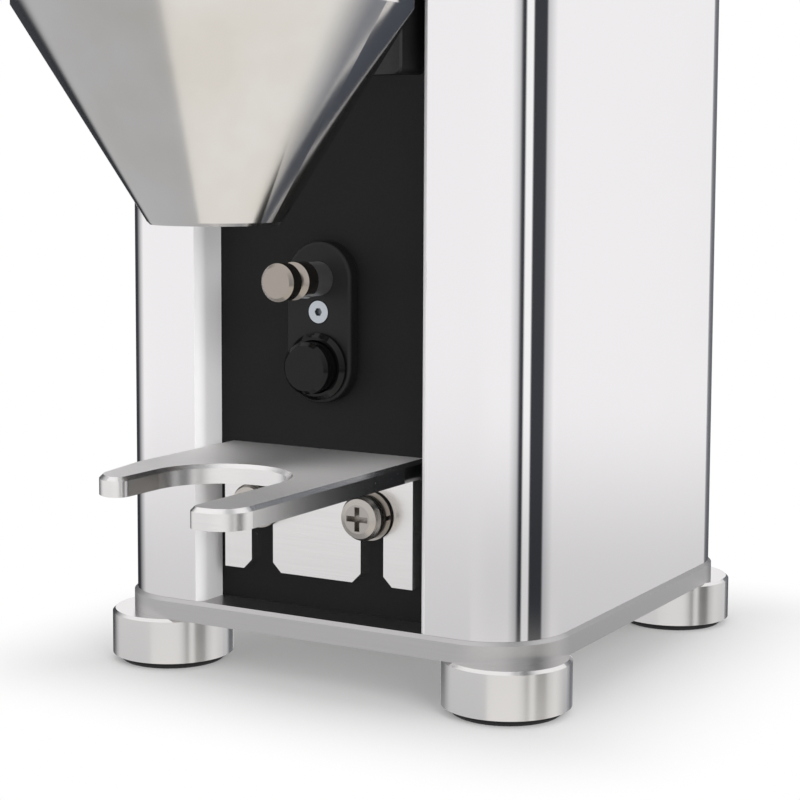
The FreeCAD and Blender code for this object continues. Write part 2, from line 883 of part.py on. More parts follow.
def make_portafilter_fork():
    body = new_body("portafilter_fork")
    half = s.fork_width / 2
    gap = s.fork_gap / 2
    back = panel_face + s.slide_gap
    fork_high = s.fork_level
    fork_low = s.fork_level - s.fork_thickness
    long_tip = -panel_face - s.long_arm
    short_tip = -panel_face - s.short_arm
    sketch = sketch_on(body, "XY_Plane", fork_low)
    short_outer = (s.short_arm_taper - half, short_tip)
    outline(sketch, [
        (-half, -back),
        (-half, short_tip + s.short_arm_taper_run),
        short_outer,
        (-gap, short_tip),
        (-gap, -funnel_axis),
        (gap, -funnel_axis),
        (gap, long_tip),
        (half, long_tip),
        (half, -back),
    ])
    plate = pad(body, sketch, s.fork_thickness)
    throat = sketch_on(body, "XY_Plane", fork_high)
    circle(throat, 0, -funnel_axis, gap)
    plate = cut(body, throat, s.fork_thickness)
    for x, y in (short_outer, (half, long_tip)):
        corner = edges_where(plate, lambda edge: stands_at(edge, x, y))
        plate = round_edges(body, plate, corner, s.tip_outer)
    for x, y in ((-gap, short_tip), (gap, long_tip)):
        corner = edges_where(plate, lambda edge: stands_at(edge, x, y))
        plate = round_edges(body, plate, corner, s.tip_inner)

    def top_edge(edge):
        return lies_at(edge, 2, fork_high) and not lies_at(edge, 1, -back)

    bevel_edges(body, plate, edges_where(plate, top_edge), s.fork_chamfer)
    hanger = sketch_on(body, "XZ_Plane", back)
    side = s.bracket_width / 2
    rectangle(hanger, -side, fork_low - s.bracket_drop, side, fork_low)
    pad(body, hanger, s.bracket_thickness - s.slide_gap)
    slots = sketch_on(body, "XZ_Plane", back)
    slot_low = fork_low - s.bracket_drop
    for place_x in (-s.slot_spacing / 2, s.slot_spacing / 2):
        narrow = s.slot_width / 2
        wide = narrow + s.slot_mouth
        outline(slots, [
            (place_x - wide, slot_low),
            (place_x + wide, slot_low),
            (place_x + narrow, slot_low + s.slot_mouth),
            (place_x + narrow, s.clamp_level),
            (place_x - narrow, s.clamp_level),
            (place_x - narrow, slot_low + s.slot_mouth),
        ])
    cut(body, slots, s.bracket_thickness, reverse=True)
    ends = sketch_on(body, "XZ_Plane", back)
    for place_x in (-s.slot_spacing / 2, s.slot_spacing / 2):
        circle(ends, place_x, s.clamp_level, s.slot_width / 2)
    cut(body, ends, s.bracket_thickness, reverse=True)
    place(body, z=plate_top)


def make_clamp_screws():
    """Two pan-head cross-recess screws, each over a spring washer and a plain washer."""
    shank = s.clamp_screw / 2
    bracket_face = panel_face + s.bracket_thickness
    washer_low = s.slide_gap
    washer_top = washer_low + s.washer_thickness
    head_low = washer_top + s.spring_washer_thickness
    head_top = head_low + s.clamp_head_height
    screw_end = -s.bracket_thickness - s.clamp_thread
    screw = new_body("fork_screws")
    head = s.clamp_head / 2
    crown = s.clamp_head_height / 2
    turning = revolve(screw, [
        (0, screw_end),
        (shank, screw_end),
        (shank, head_low),
        (head, head_low),
        (head, head_low + crown),
        (head - crown / 3, head_top - crown / 3),
        (head - crown, head_top),
        (0, head_top),
    ])
    cross = sketch_on(screw, "XY_Plane", head_top)
    arm = s.cross_recess / 2
    web = s.cross_width / 2
    outline(cross, [
        (arm, web), (web, web), (web, arm), (-web, arm), (-web, web), (-arm, web),
        (-arm, -web), (-web, -web), (-web, -arm), (web, -arm), (web, -web), (arm, -web),
    ])
    recess = cut(screw, cross, s.cross_depth)
    spread(screw, [turning, recess], s.slot_spacing)
    place(screw, x=-s.slot_spacing / 2, y=-bracket_face, z=plate_top + s.clamp_level, facing="front")
    spring = new_body("fork_spring_washers")
    bore = shank + s.free_gap
    rim = s.spring_washer_diameter / 2
    turning = revolve(spring, [(bore, washer_top), (rim, washer_top), (rim, head_low), (bore, head_low)])
    split = sketch_on(spring, "XY_Plane", head_low)
    half_split = s.spring_washer_split / 2
    rectangle(split, sized(0), -half_split, s.spring_washer_diameter, half_split)
    gap = cut(spring, split, s.spring_washer_thickness)
    spread(spring, [turning, gap], s.slot_spacing)
    place(spring, x=-s.slot_spacing / 2, y=-bracket_face, z=plate_top + s.clamp_level, facing="front")
    plain = new_body("fork_washers")
    rim = s.washer_diameter / 2
    turning = revolve(plain, [(bore, washer_low), (rim, washer_low), (rim, washer_top), (bore, washer_top)])
    spread(plain, [turning], s.slot_spacing)
    place(plain, x=-s.slot_spacing / 2, y=-bracket_face, z=plate_top + s.clamp_level, facing="front")


def make_funnel():
    body = new_body("funnel")
    wall = s.funnel_wall
    low = s.funnel_outlet / 2
    high = s.funnel_rim / 2
    lip = high + s.lip_width
    revolve(body, [
        (low - wall, funnel_low),
        (low - wall / 2, funnel_low - wall / 4),
        (low, funnel_low + wall / 4),
        (high, rim_low),
        (high, lip_low),
        (lip - s.lip_thickness / 4, lip_low),
        (lip, lip_low + s.lip_thickness / 2),
        (lip - s.lip_thickness / 4, lip_low + s.lip_thickness),
        (high - wall, lip_low + s.lip_thickness),
        (high - wall, rim_low),
    ])
    place(body, y=-funnel_axis)


def make_funnel_holder():
    """A black block in the recess with a hoop round the cone's rim, and a window for the spout."""
    body = new_body("funnel_holder")
    half = s.holder_width / 2
    block_high = s.holder_level + s.holder_height
    sketch = sketch_on(body, "XZ_Plane", panel_face)
    rectangle(sketch, -half, s.holder_level, half, block_high)
    block = pad(body, sketch, s.holder_depth)
    front = panel_face + s.holder_depth

    def soft_edge(edge):
        return lies_at(edge, 2, s.holder_level) and not lies_at(edge, 1, -panel_face)

    round_edges(body, block, edges_where(block, soft_edge), s.holder_edge)
    hoop_high = lip_low - plate_top
    hoop = sketch_on(body, "XY_Plane", hoop_high)
    circle(hoop, 0, -funnel_axis, hoop_radius)
    pad(body, hoop, s.hoop_height, reverse=True)
    bore = sketch_on(body, "XY_Plane", block_high)
    circle(bore, 0, -funnel_axis, hoop_bore)
    cut(body, bore, s.holder_height)
    relief = sketch_on(body, "XY_Plane", hoop_high)
    circle(relief, 0, -funnel_axis, hoop_radius)
    cut(body, relief, s.lip_thickness * 1.5, reverse=True)
    trim = sketch_on(body, "XZ_Plane", panel_face)
    rectangle(trim, -hoop_radius, s.holder_level, hoop_radius, block_high)
    cut(body, trim, s.holder_depth)
    window = sketch_on(body, "XZ_Plane", panel_face)
    window_x = s.spout_width / 2 + s.free_gap
    window_z = s.spout_height / 2 + s.free_gap
    rectangle(window, -window_x, s.spout_level - window_z, window_x, s.spout_level + window_z)
    cut(body, window, front, reverse=True)
    place(body, z=plate_top)


def make_outlet_spout():
    body = new_body("outlet_spout")
    outer_x = s.spout_width / 2
    outer_z = s.spout_height / 2
    inner_x = outer_x - s.spout_wall
    inner_z = outer_z - s.spout_wall
    sketch = sketch_on(body, "XZ_Plane")
    rectangle(sketch, -outer_x, s.spout_level - outer_z, outer_x, s.spout_level + outer_z)
    rectangle(sketch, -inner_x, s.spout_level - inner_z, inner_x, s.spout_level + inner_z)
    reach = panel_face + s.spout_overhang
    pad(body, sketch, reach)
    seat = sketch_on(body, "XY_Plane", s.spout_level + outer_z)
    circle(seat, 0, 0, chamber_radius)
    cut(body, seat, s.spout_height)
    place(body, z=plate_top)


def make_deck():
    body = new_body("deck_plate")
    sketch = sketch_on(body, "XY_Plane")
    rectangle(sketch, -s.plate_width / 2, -s.plate_depth / 2, s.plate_width / 2, s.plate_depth / 2)
    slab = pad(body, sketch, s.deck_thickness)
    corners = edges_where(slab, stands_upright)
    rounded = round_edges(body, slab, corners, s.plate_corner)
    rim = edges_where(rounded, lambda edge: lies_at(edge, 2, s.deck_thickness))
    bevel_edges(body, rounded, rim, s.plate_chamfer)
    holes = sketch_on(body, "XY_Plane")
    circle(holes, 0, 0, chamber_radius + s.free_gap)
    for side in (-1, 1):
        for end in (-1, 1):
            circle(holes, side * foot_x, end * foot_y, frame_screw + s.free_gap)
    for side_x, side_y in ((1, 0), (-1, 0), (0, 1), (0, -1)):
        circle(holes, side_x * chamber_bolt, side_y * chamber_bolt, s.chamber_screw / 2 + s.free_gap)
    circle(holes, 0, -index_y, s.index_diameter / 2 + s.thread_gap)
    cut(body, holes, s.deck_thickness, reverse=True)
    heads = sketch_on(body, "XY_Plane", s.deck_thickness)
    for side_x, side_y in ((1, 0), (-1, 0), (0, 1), (0, -1)):
        circle(heads, side_x * chamber_bolt, side_y * chamber_bolt, s.chamber_screw_head / 2 + s.free_gap)
    cut(body, heads, s.deck_thickness / 2)
    place(body, z=shell_top)
    pin = new_body("index_pin")
    radius = s.index_diameter / 2
    revolve(pin, [
        (0, -s.deck_thickness),
        (radius, -s.deck_thickness),
        (radius, s.index_rise / 2),
        (radius / 2, s.index_rise),
        (0, s.index_rise),
    ])
    place(pin, y=-index_y, z=deck_top)
    screw = new_body("deck_screws")
    head = s.frame_head / 2
    head_top = s.frame_head_height * 0.7
    screw_end = s.free_gap - s.deck_thickness - s.post_thread
    turning = revolve(screw, [
        (0, screw_end),
        (frame_screw, screw_end),
        (frame_screw, 0),
        (head, 0),
        (head, head_top / 3),
        (head * 0.8, head_top * 0.85),
        (head * 0.5, head_top),
        (0, head_top),
    ])
    socket = sketch_on(screw, "XY_Plane", head_top)
    hexagon(socket, s.frame_screw * 0.6)
    recess = cut(screw, socket, head_top / 2)
    spread(screw, [turning, recess], foot_x * 2, foot_y * 2)
    place(screw, x=-foot_x, y=-foot_y, z=deck_top)


chamber_bolt = chamber_radius + s.chamber_flange / 2
index_y = collar_radius + s.index_offset
motor_bolt = s.motor_screw_circle / 2


def make_grinding_chamber():
    body = new_body("grinding_chamber")
    bore = s.chamber_bore / 2
    flange = chamber_radius + s.chamber_flange
    revolve(body, [
        (s.shaft_diameter / 2 + s.free_gap, bell_top),
        (chamber_radius, bell_top),
        (chamber_radius, shell_top - s.chamber_flange_thickness),
        (flange, shell_top - s.chamber_flange_thickness),
        (flange, shell_top),
        (chamber_radius, shell_top),
        (chamber_radius, neck_top),
        (bore, neck_top),
        (bore, chamber_base),
        (s.shaft_diameter / 2 + s.free_gap, chamber_base),
    ])
    window = sketch_on(body, "XZ_Plane")
    window_x = s.spout_width / 2 - s.spout_wall
    window_z = s.spout_height / 2 - s.spout_wall
    middle = plate_top + s.spout_level
    rectangle(window, -window_x, middle - window_z, window_x, middle + window_z)
    cut(body, window, s.plate_depth, reverse=True)
    holes = sketch_on(body, "XY_Plane", shell_top)
    for side_x, side_y in ((1, 0), (-1, 0), (0, 1), (0, -1)):
        circle(holes, side_x * chamber_bolt, side_y * chamber_bolt, s.chamber_screw / 2 + s.thread_gap)
    cut(body, holes, s.chamber_flange_thickness)
    floor = sketch_on(body, "XY_Plane", chamber_base)
    for side_x, side_y in ((1, 0), (-1, 0), (0, 1), (0, -1)):
        circle(floor, side_x * motor_bolt, side_y * motor_bolt, s.chamber_screw / 2 + s.free_gap)
    cut(body, floor, s.chamber_floor)
    heads = sketch_on(body, "XY_Plane", chamber_base)
    for side_x, side_y in ((1, 0), (-1, 0), (0, 1), (0, -1)):
        circle(heads, side_x * motor_bolt, side_y * motor_bolt, s.chamber_screw_head / 2 + s.free_gap)
    cut(body, heads, s.chamber_floor / 2)
    place(body)
    flange_grip = s.chamber_flange_thickness
    bell_grip = s.bell_thickness * 0.8
    screws_in_ring("chamber_screws", deck_top, s.deck_thickness / 2, flange_grip, chamber_bolt)
    screws_in_ring("motor_screws", chamber_base, s.chamber_floor / 2, bell_grip, motor_bolt)


def screws_in_ring(label, face, head_height, grip, circle_radius):
    """Four flush cheese-head screws on a circle, each head sunk by its own height."""
    screw = new_body(label)
    shank = s.chamber_screw / 2
    head = s.chamber_screw_head / 2
    head_low = face - head_height
    end = head_low - head_height - grip
    sketch = sketch_on(screw, "XY_Plane", end)
    circle(sketch, circle_radius, 0, shank)
    stem = pad(screw, sketch, head_low - end)
    cap = sketch_on(screw, "XY_Plane", head_low)
    circle(cap, circle_radius, 0, head)
    top = pad(screw, cap, head_height)
    around(screw, [stem, top], RING_SCREWS)
    place(screw)


def make_motor():
    radius = s.motor_diameter / 2
    bore = radius - s.motor_wall
    seat = s.bearing_diameter / 2 + s.thread_gap
    shaft = s.shaft_diameter / 2
    can = new_body("motor_can")
    revolve(can, [(bore, can_low), (radius, can_low), (radius, can_top), (bore, can_top)])
    place(can)
    upper = new_body("motor_top_bell")
    revolve(upper, [(seat, can_top), (radius, can_top), (radius, bell_top), (seat, bell_top)])
    holes = sketch_on(upper, "XY_Plane", bell_top)
    for side_x, side_y in ((1, 0), (-1, 0), (0, 1), (0, -1)):
        circle(holes, side_x * motor_bolt, side_y * motor_bolt, s.chamber_screw / 2 + s.thread_gap)
    cut(upper, holes, s.bell_thickness)
    place(upper)
    lower = new_body("motor_bottom_bell")
    lower_seat = bell_low + s.bell_floor
    revolve(lower, [
        (0, bell_low),
        (radius - s.bell_floor, bell_low),
        (radius, lower_seat),
        (radius, can_low),
        (seat, can_low),
        (seat, lower_seat),
        (0, lower_seat),
    ])
    place(lower)
    core = new_body("stator_core")
    stator_bore = s.rotor_diameter / 2 + s.air_gap
    stator = bore - s.thread_gap
    revolve(core, [
        (stator_bore, core_low),
        (stator, core_low),
        (stator, core_top),
        (stator_bore, core_top),
    ])
    place(core)
    winding = new_body("motor_windings")
    coil_in = stator_bore + s.winding_margin
    coil_out = stator - s.winding_margin
    corner = s.winding_margin
    high = core_top + s.winding_height
    revolve(winding, [
        (coil_in, core_top),
        (coil_out, core_top),
        (coil_out, high - corner),
        (coil_out - corner, high),
        (coil_in + corner, high),
        (coil_in, high - corner),
    ])
    below = core_low - s.winding_height
    revolve(winding, [
        (coil_in, core_low),
        (coil_out, core_low),
        (coil_out, below + corner),
        (coil_out - corner, below),
        (coil_in + corner, below),
        (coil_in, below + corner),
    ])
    place(winding)
    rotor = new_body("rotor_core")
    drum = s.rotor_diameter / 2
    hub = shaft + s.thread_gap
    revolve(rotor, [(hub, core_low), (drum, core_low), (drum, core_top), (hub, core_top)])
    place(rotor)
    spindle = new_body("motor_shaft")
    tip = carrier_top + s.carrier_nut_height
    revolve(spindle, [
        (0, lower_seat + s.free_gap),
        (shaft, lower_seat + s.free_gap),
        (shaft, carrier_top),
        (s.shaft_end / 2, carrier_top),
        (s.shaft_end / 2, tip),
        (0, tip),
    ])
    place(spindle)
    bearing = new_body("bearings")
    race_in = shaft + s.running_gap
    race_out = s.bearing_diameter / 2
    for low, high in ((can_top, bell_top), (lower_seat, can_low)):
        revolve(bearing, [(race_in, low), (race_out, low), (race_out, high), (race_in, high)])
    place(bearing)


def make_burr(label, face, back):
    """A flat burr: a ring with a bevelled mouth and slanted cutting grooves on its face."""
    body = new_body(label)
    rim = s.burr_diameter / 2
    bore = s.burr_bore / 2
    inward = 1 if back.number > face.number else -1
    mouth = face + inward * s.burr_mouth
    revolve(body, [(rim, back), (rim, face), (bore + s.burr_mouth * 2, face), (bore, mouth), (bore, back)])
    sketch = sketch_on(body, "XY_Plane", face)
    half = s.burr_groove_width / 2
    lean = s.burr_groove_width * 2
    outline(sketch, [
        (bore - half, lean + half),
        (rim + half, -lean),
        (rim + half, s.burr_groove_width - lean),
        (bore - half, lean + s.burr_groove_width * 2),
    ])
    groove = cut(body, sketch, s.burr_groove_depth, reverse=inward > 0)
    around(body, [groove], BURR_GROOVES)
    place(body)


def make_burr_set():
    make_burr("lower_burr", lower_burr_top, carrier_top)
    make_burr("upper_burr", upper_burr_low, upper_carrier_low)
    shaft = s.shaft_diameter / 2
    carrier = new_body("burr_carrier")
    disc = s.burr_diameter / 2
    hub = shaft + s.thread_gap
    revolve(carrier, [(hub, carrier_low), (disc, carrier_low), (disc, carrier_top), (hub, carrier_top)])
    sketch = sketch_on(carrier, "XY_Plane", carrier_low)
    half = s.sweeper_width / 2
    rectangle(sketch, disc - half, -half, disc + s.sweeper_length, half)
    finger = pad(carrier, sketch, s.carrier_thickness)
    around(carrier, [finger], SWEEPERS)
    place(carrier)
    nut = new_body("carrier_nut")
    sketch = sketch_on(nut, "XY_Plane")
    hexagon(sketch, s.carrier_nut_width)
    circle(sketch, 0, 0, s.shaft_end / 2 + s.thread_gap)
    pad(nut, sketch, s.carrier_nut_height)
    place(nut, z=carrier_top)
    ring = new_body("upper_carrier")
    outside = s.chamber_bore / 2 - s.free_gap
    thread = sleeve_radius + s.running_gap
    floor_top = upper_carrier_low + s.upper_carrier_floor
    ring_top = upper_carrier_low + s.upper_carrier_height
    revolve(ring, [
        (s.burr_bore / 2, upper_carrier_low),
        (outside, upper_carrier_low),
        (outside, ring_top),
        (thread, ring_top),
        (thread, floor_top),
        (s.burr_bore / 2, floor_top),
    ])
    place(ring)


def make_grind_collar():
    body = new_body("grind_collar")
    sleeve_low = upper_carrier_low + s.upper_carrier_floor + s.sleeve_clear
    web_low = neck_top + s.web_clear
    revolve(body, [
        (sleeve_bore, sleeve_low),
        (sleeve_radius, sleeve_low),
        (sleeve_radius, web_low),
        (collar_bore, web_low),
        (collar_bore, collar_low),
        (collar_radius, collar_low),
        (collar_radius, collar_top - s.collar_edge),
        (collar_radius - s.collar_edge, collar_top),
        (sleeve_bore, collar_top),
    ])
    flute = sketch_on(body, "XY_Plane", collar_top)
    half = s.flute_width / 2
    rectangle(flute, collar_radius - s.flute_depth, -half, collar_radius + half, half)
    groove = cut(body, flute, s.collar_height / 2)
    around(body, [groove], COLLAR_FLUTES)
    place(body)


def make_hopper():
    throat = s.throat_diameter / 2
    spigot = s.hopper_neck / 2
    base = new_body("hopper_base")
    rim = s.base_diameter / 2
    revolve(base, [
        (throat, collar_top - s.spigot_length),
        (spigot, collar_top - s.spigot_length),
        (spigot, collar_top),
        (rim, collar_top),
        (rim, base_top - s.collar_edge),
        (rim - s.collar_edge, base_top),
        (throat, base_top),
    ])
    gate_low = collar_top + s.gate_level
    half = s.gate_width / 2
    slot = sketch_on(base, "XY_Plane", gate_low - s.slide_gap)
    rectangle(slot, -half - s.slide_gap, -half - s.slide_gap, rim + s.gate_tab, half + s.slide_gap)
    cut(base, slot, s.gate_thickness + s.slide_gap * 2, reverse=True)
    place(base)
    gate = new_body("hopper_gate")
    sketch = sketch_on(gate, "XY_Plane")
    tab = s.gate_tab_width / 2
    outline(sketch, [
        (-half, -half),
        (rim, -half),
        (rim, -tab),
        (rim + s.gate_tab, -tab),
        (rim + s.gate_tab, tab),
        (rim, tab),
        (rim, half),
        (-half, half),
    ])
    plate = pad(gate, sketch, s.gate_thickness)
    for end in (-tab, tab):
        tip = edges_where(plate, lambda edge: stands_at(edge, rim + s.gate_tab, end))
        plate = round_edges(gate, plate, tip, s.gate_tab / 2)
    place(gate, z=gate_low)
    bowl = new_body("hopper_bowl")
    foot = s.bowl_foot / 2
    wide = s.bowl_diameter / 2
    cone_top = base_top + s.bowl_cone
    revolve(bowl, [
        (foot - s.bowl_wall, base_top),
        (foot + s.bowl_wall, base_top),
        (wide, cone_top),
        (wide, bowl_top),
        (wide - s.bowl_wall, bowl_top),
        (wide - s.bowl_wall, cone_top + s.bowl_wall),
        (foot - s.bowl_wall, base_top + s.bowl_wall),
    ])
    place(bowl)
    lid = new_body("hopper_lid")
    plug = wide - s.bowl_wall - s.free_gap
    knob = s.lid_knob / 2
    lid_top = bowl_top + s.lid_thickness
    knob_top = lid_top + s.lid_knob_height
    revolve(lid, [
        (plug - s.bowl_wall, bowl_top - s.lid_skirt),
        (plug, bowl_top - s.lid_skirt),
        (plug, bowl_top),
        (wide, bowl_top),
        (wide, lid_top - s.lid_edge),
        (wide - s.lid_edge, lid_top),
        (knob * 0.75, lid_top),
        (knob, knob_top - s.lid_edge * 2),
        (knob - s.lid_edge, knob_top),
        (0, knob_top),
        (0, bowl_top),
        (plug - s.bowl_wall, bowl_top),
    ])
    place(lid)


def make_electrics():
    can = new_body("run_capacitor")
    radius = s.capacitor_diameter / 2
    stud = s.capacitor_stud / 2
    bottom = s.plate_thickness * 0.8
    revolve(can, [
        (0, -bottom),
        (stud, -bottom),
        (stud, 0),
        (radius, 0),
        (radius, s.capacitor_height - s.plate_chamfer),
        (radius - s.plate_chamfer, s.capacitor_height),
        (0, s.capacitor_height),
    ])
    place(can, x=s.capacitor_offset, y=s.capacitor_offset, z=plate_top)
    gland = new_body("cord_gland")
    barrel = s.gland_diameter / 2
    flange = s.gland_flange / 2
    bore = s.gland_bore / 2
    revolve(gland, [
        (bore, -s.gland_depth),
        (barrel, -s.gland_depth),
        (barrel, 0),
        (flange, 0),
        (flange, s.gland_flange_height * 0.6),
        (barrel, s.gland_flange_height),
        (bore, s.gland_flange_height),
    ])
    place(gland, x=s.gland_offset, y=shell_face, z=plate_top + s.back_level, facing="back")
    nut = new_body("gland_nut")
    sketch = sketch_on(nut, "XY_Plane")
    hexagon(sketch, s.gland_flange)
    circle(sketch, 0, 0, barrel + s.thread_gap)
    pad(nut, sketch, s.gland_nut_height, reverse=True)
    inside = shell_face - s.shell_thickness
    place(nut, x=s.gland_offset, y=inside, z=plate_top + s.back_level, facing="back")
    make_power_switch()


def make_power_switch():
    """A rocker on its own pin in a housing that is pressed into the back of the shell."""
    cavity_x = s.rocker_width / 2 + s.free_gap
    cavity_z = s.rocker_height / 2 + s.rocker_rise
    body_x = cavity_x + s.switch_wall
    body_z = cavity_z + s.switch_wall
    flange_x = body_x + s.switch_flange
    flange_z = body_z + s.switch_flange
    depth = s.rocker_height / 2 + s.switch_flange
    housing = new_body("rocker_housing")
    sketch = sketch_on(housing, "XY_Plane")
    rectangle(sketch, -flange_x, -flange_z, flange_x, flange_z)
    bezel = pad(housing, sketch, s.switch_flange)
    rim = edges_where(bezel, lambda edge: lies_at(edge, 2, s.switch_flange))
    bevel_edges(housing, bezel, rim, s.switch_flange / 3)
    sketch = sketch_on(housing, "XY_Plane")
    rectangle(sketch, -body_x, -body_z, body_x, body_z)
    pad(housing, sketch, s.switch_depth, reverse=True)
    hollow = sketch_on(housing, "XY_Plane", s.switch_flange)
    rectangle(hollow, -cavity_x, -cavity_z, cavity_x, cavity_z)
    cut(housing, hollow, depth)
    pivot = sketch_on(housing, "YZ_Plane")
    circle(pivot, 0, 0, s.rocker_pin / 2 + s.running_gap)
    cut(housing, pivot, (cavity_x + s.switch_wall / 2) * 2, both_ways=True)
    place(housing, x=-s.rocker_offset, y=shell_face, z=plate_top + s.back_level, facing="back")
    rocker = new_body("rocker")
    sketch = sketch_on(rocker, "YZ_Plane")
    half = s.rocker_height / 2
    outline(sketch, [
        (-half, -s.rocker_rise),
        (half, -s.rocker_rise),
        (half, s.rocker_rise * 2),
        (0, s.rocker_rise),
        (-half, s.rocker_rise * 2),
    ])
    pad(rocker, sketch, s.rocker_width, both_ways=True)
    sketch = sketch_on(rocker, "YZ_Plane")
    circle(sketch, 0, 0, s.rocker_pin / 2)
    pad(rocker, sketch, (cavity_x + s.switch_wall / 2 - s.free_gap) * 2, both_ways=True)
    place(rocker, x=-s.rocker_offset, y=shell_face, z=plate_top + s.back_level, facing="back")
    rocker.Placement.Rotation = Rotation(Vector(-1, 0, 0), 90 - s.rocker_tilt.number)
    bind(rocker, "Placement.Rotation.Angle", 90 - s.rocker_tilt)
    doc.recompute()


make_base_plate()
make_feet()
make_posts()
make_body_shell()
make_front_panel()
make_switch_plate()
make_hold_down_pin()
make_start_button()
make_portafilter_fork()
make_clamp_screws()
make_funnel()
make_funnel_holder()
make_outlet_spout()
make_deck()
make_grinding_chamber()
make_motor()
make_burr_set()
make_grind_collar()
make_hopper()
make_electrics()

doc.recompute()
for item in doc.Objects:
    if "Invalid" in item.State or "Error" in item.State:
        raise RuntimeError(f"{item.Label} did not build: {item.State}")
for label, item in nodes.items():
    if item.Shape.isNull() or not item.Shape.isValid() or not item.Shape.Solids:
        raise RuntimeError(f"{label} has no sound solid")

os.makedirs("parts", exist_ok=True)
for label, item in nodes.items():
    item.Shape.exportStep(f"parts/{label}.step")
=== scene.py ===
import math

import bpy
from mathutils import Euler, Matrix, Vector


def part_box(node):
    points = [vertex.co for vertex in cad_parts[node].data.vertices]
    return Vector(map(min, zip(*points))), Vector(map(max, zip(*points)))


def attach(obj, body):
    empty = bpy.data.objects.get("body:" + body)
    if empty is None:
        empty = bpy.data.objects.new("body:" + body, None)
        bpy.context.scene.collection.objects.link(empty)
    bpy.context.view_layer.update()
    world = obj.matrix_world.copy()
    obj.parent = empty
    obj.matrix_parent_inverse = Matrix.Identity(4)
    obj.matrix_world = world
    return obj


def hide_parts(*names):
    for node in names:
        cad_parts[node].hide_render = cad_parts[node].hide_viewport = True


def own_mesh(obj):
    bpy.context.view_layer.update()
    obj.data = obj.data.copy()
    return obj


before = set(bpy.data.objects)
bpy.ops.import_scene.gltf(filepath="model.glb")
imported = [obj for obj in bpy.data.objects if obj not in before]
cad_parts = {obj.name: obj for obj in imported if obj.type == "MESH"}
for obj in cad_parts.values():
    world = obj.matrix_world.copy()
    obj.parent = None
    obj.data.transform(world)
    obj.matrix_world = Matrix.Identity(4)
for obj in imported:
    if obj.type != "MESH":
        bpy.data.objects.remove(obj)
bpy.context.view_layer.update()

# Base plate: a slab of aluminium, sawn and milled, then brushed from side to side and clear anodised.
# Its chamfered rim shows all round below the tower. The deck plate on top of the tower is its twin.
# Real brush scratches are finer than these, which are drawn wide enough to show.
PLATE_GREY = "#C6C5C5"
SCRATCH_MM = 0.5
SCRATCH_STRETCH = 40
SCRATCH_CLOUD_MM = 60
SCRATCH_BAND = (0.3, 0.7)
SCRATCH_TONES = (0.98, 1.01)
SCRATCH_ROUGHNESS = (0.95, 1.08)
MARK_DEPTH = 0.0001
ALONG_X, ALONG_Y, ALONG_Z = range(3)


def linear(hex_colour):
    """An sRGB hex colour as linear red, green, blue and alpha."""
    channels = [int(hex_colour[start:start + 2], 16) / 255 for start in (1, 3, 5)]
    curve = [tone / 12.92 if tone <= 0.04045 else ((tone + 0.055) / 1.055) ** 2.4 for tone in channels]
    return (*curve, 1.0)


def toned(colour, share):
    """A linear colour made darker or lighter."""
    return (*[channel * share for channel in colour[:3]], 1.0)


def per_metre(millimetres):
    """How many pattern cells of this size fit in one metre."""
    return 1000 / millimetres


def add(tree, kind, values=(), links=(), **settings):
    """Adds one shader node with its settings, its input values and the sockets that feed it."""
    made = tree.nodes.new(kind)
    for name, value in settings.items():
        setattr(made, name, value)
    for socket, value in dict(values).items():
        made.inputs[socket].default_value = value
    for socket, source in dict(links).items():
        tree.links.new(source, made.inputs[socket])
    return made


def new_finish(name, values):
    """A material with one Principled shader, and the tree and shader to build on."""
    material = bpy.data.materials.new(name)
    material.use_nodes = True
    tree = material.node_tree
    shader = tree.nodes["Principled BSDF"]
    for socket, value in values.items():
        shader.inputs[socket].default_value = value
    return material, tree, shader


def dress(material, *names):
    """Gives CAD nodes their finish."""
    for name in names:
        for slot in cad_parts[name].material_slots:
            slot.material = material


def brushed_metal(name, colour, along, roughness):
    """Satin metal: fine straight scratches along one axis, which blur a reflection across them."""
    material, tree, shader = new_finish(name, {
        "Metallic": 1.0,
        "Anisotropic": 0.4,
    })
    place = add(tree, "ShaderNodeTexCoord").outputs["Object"]
    stretch = [per_metre(SCRATCH_MM)] * 3
    stretch[along] /= SCRATCH_STRETCH
    drawn = add(tree, "ShaderNodeMapping", {"Scale": stretch}, {"Vector": place})
    scratches = add(tree, "ShaderNodeTexNoise", {"Scale": 1.0, "Detail": 1.0}, {"Vector": drawn.outputs[0]})
    cloud = add(tree, "ShaderNodeTexNoise", {"Scale": per_metre(SCRATCH_CLOUD_MM), "Detail": 2.0},
                {"Vector": place})
    tone = add(tree, "ShaderNodeMix", {"Factor": 0.08}, {"A": scratches.outputs[0], "B": cloud.outputs[0]})
    ramp = add(tree, "ShaderNodeValToRGB", links={"Fac": tone.outputs[0]})
    for stop, position, share in zip(ramp.color_ramp.elements, SCRATCH_BAND, SCRATCH_TONES):
        stop.position = position
        stop.color = toned(linear(colour), share)
    tree.links.new(ramp.outputs[0], shader.inputs["Base Color"])
    spread = add(tree, "ShaderNodeMapRange",
                 {"To Min": roughness * SCRATCH_ROUGHNESS[0], "To Max": roughness * SCRATCH_ROUGHNESS[1]},
                 {"Value": scratches.outputs[0]})
    tree.links.new(spread.outputs[0], shader.inputs["Roughness"])
    bump = add(tree, "ShaderNodeBump", {"Strength": 0.012, "Distance": MARK_DEPTH},
               {"Height": scratches.outputs[0]})
    tree.links.new(bump.outputs[0], shader.inputs["Normal"])
    return material


dress(brushed_metal("brushed_anodised_plate", PLATE_GREY, along=ALONG_X, roughness=0.34),
      "base_plate", "deck_plate")

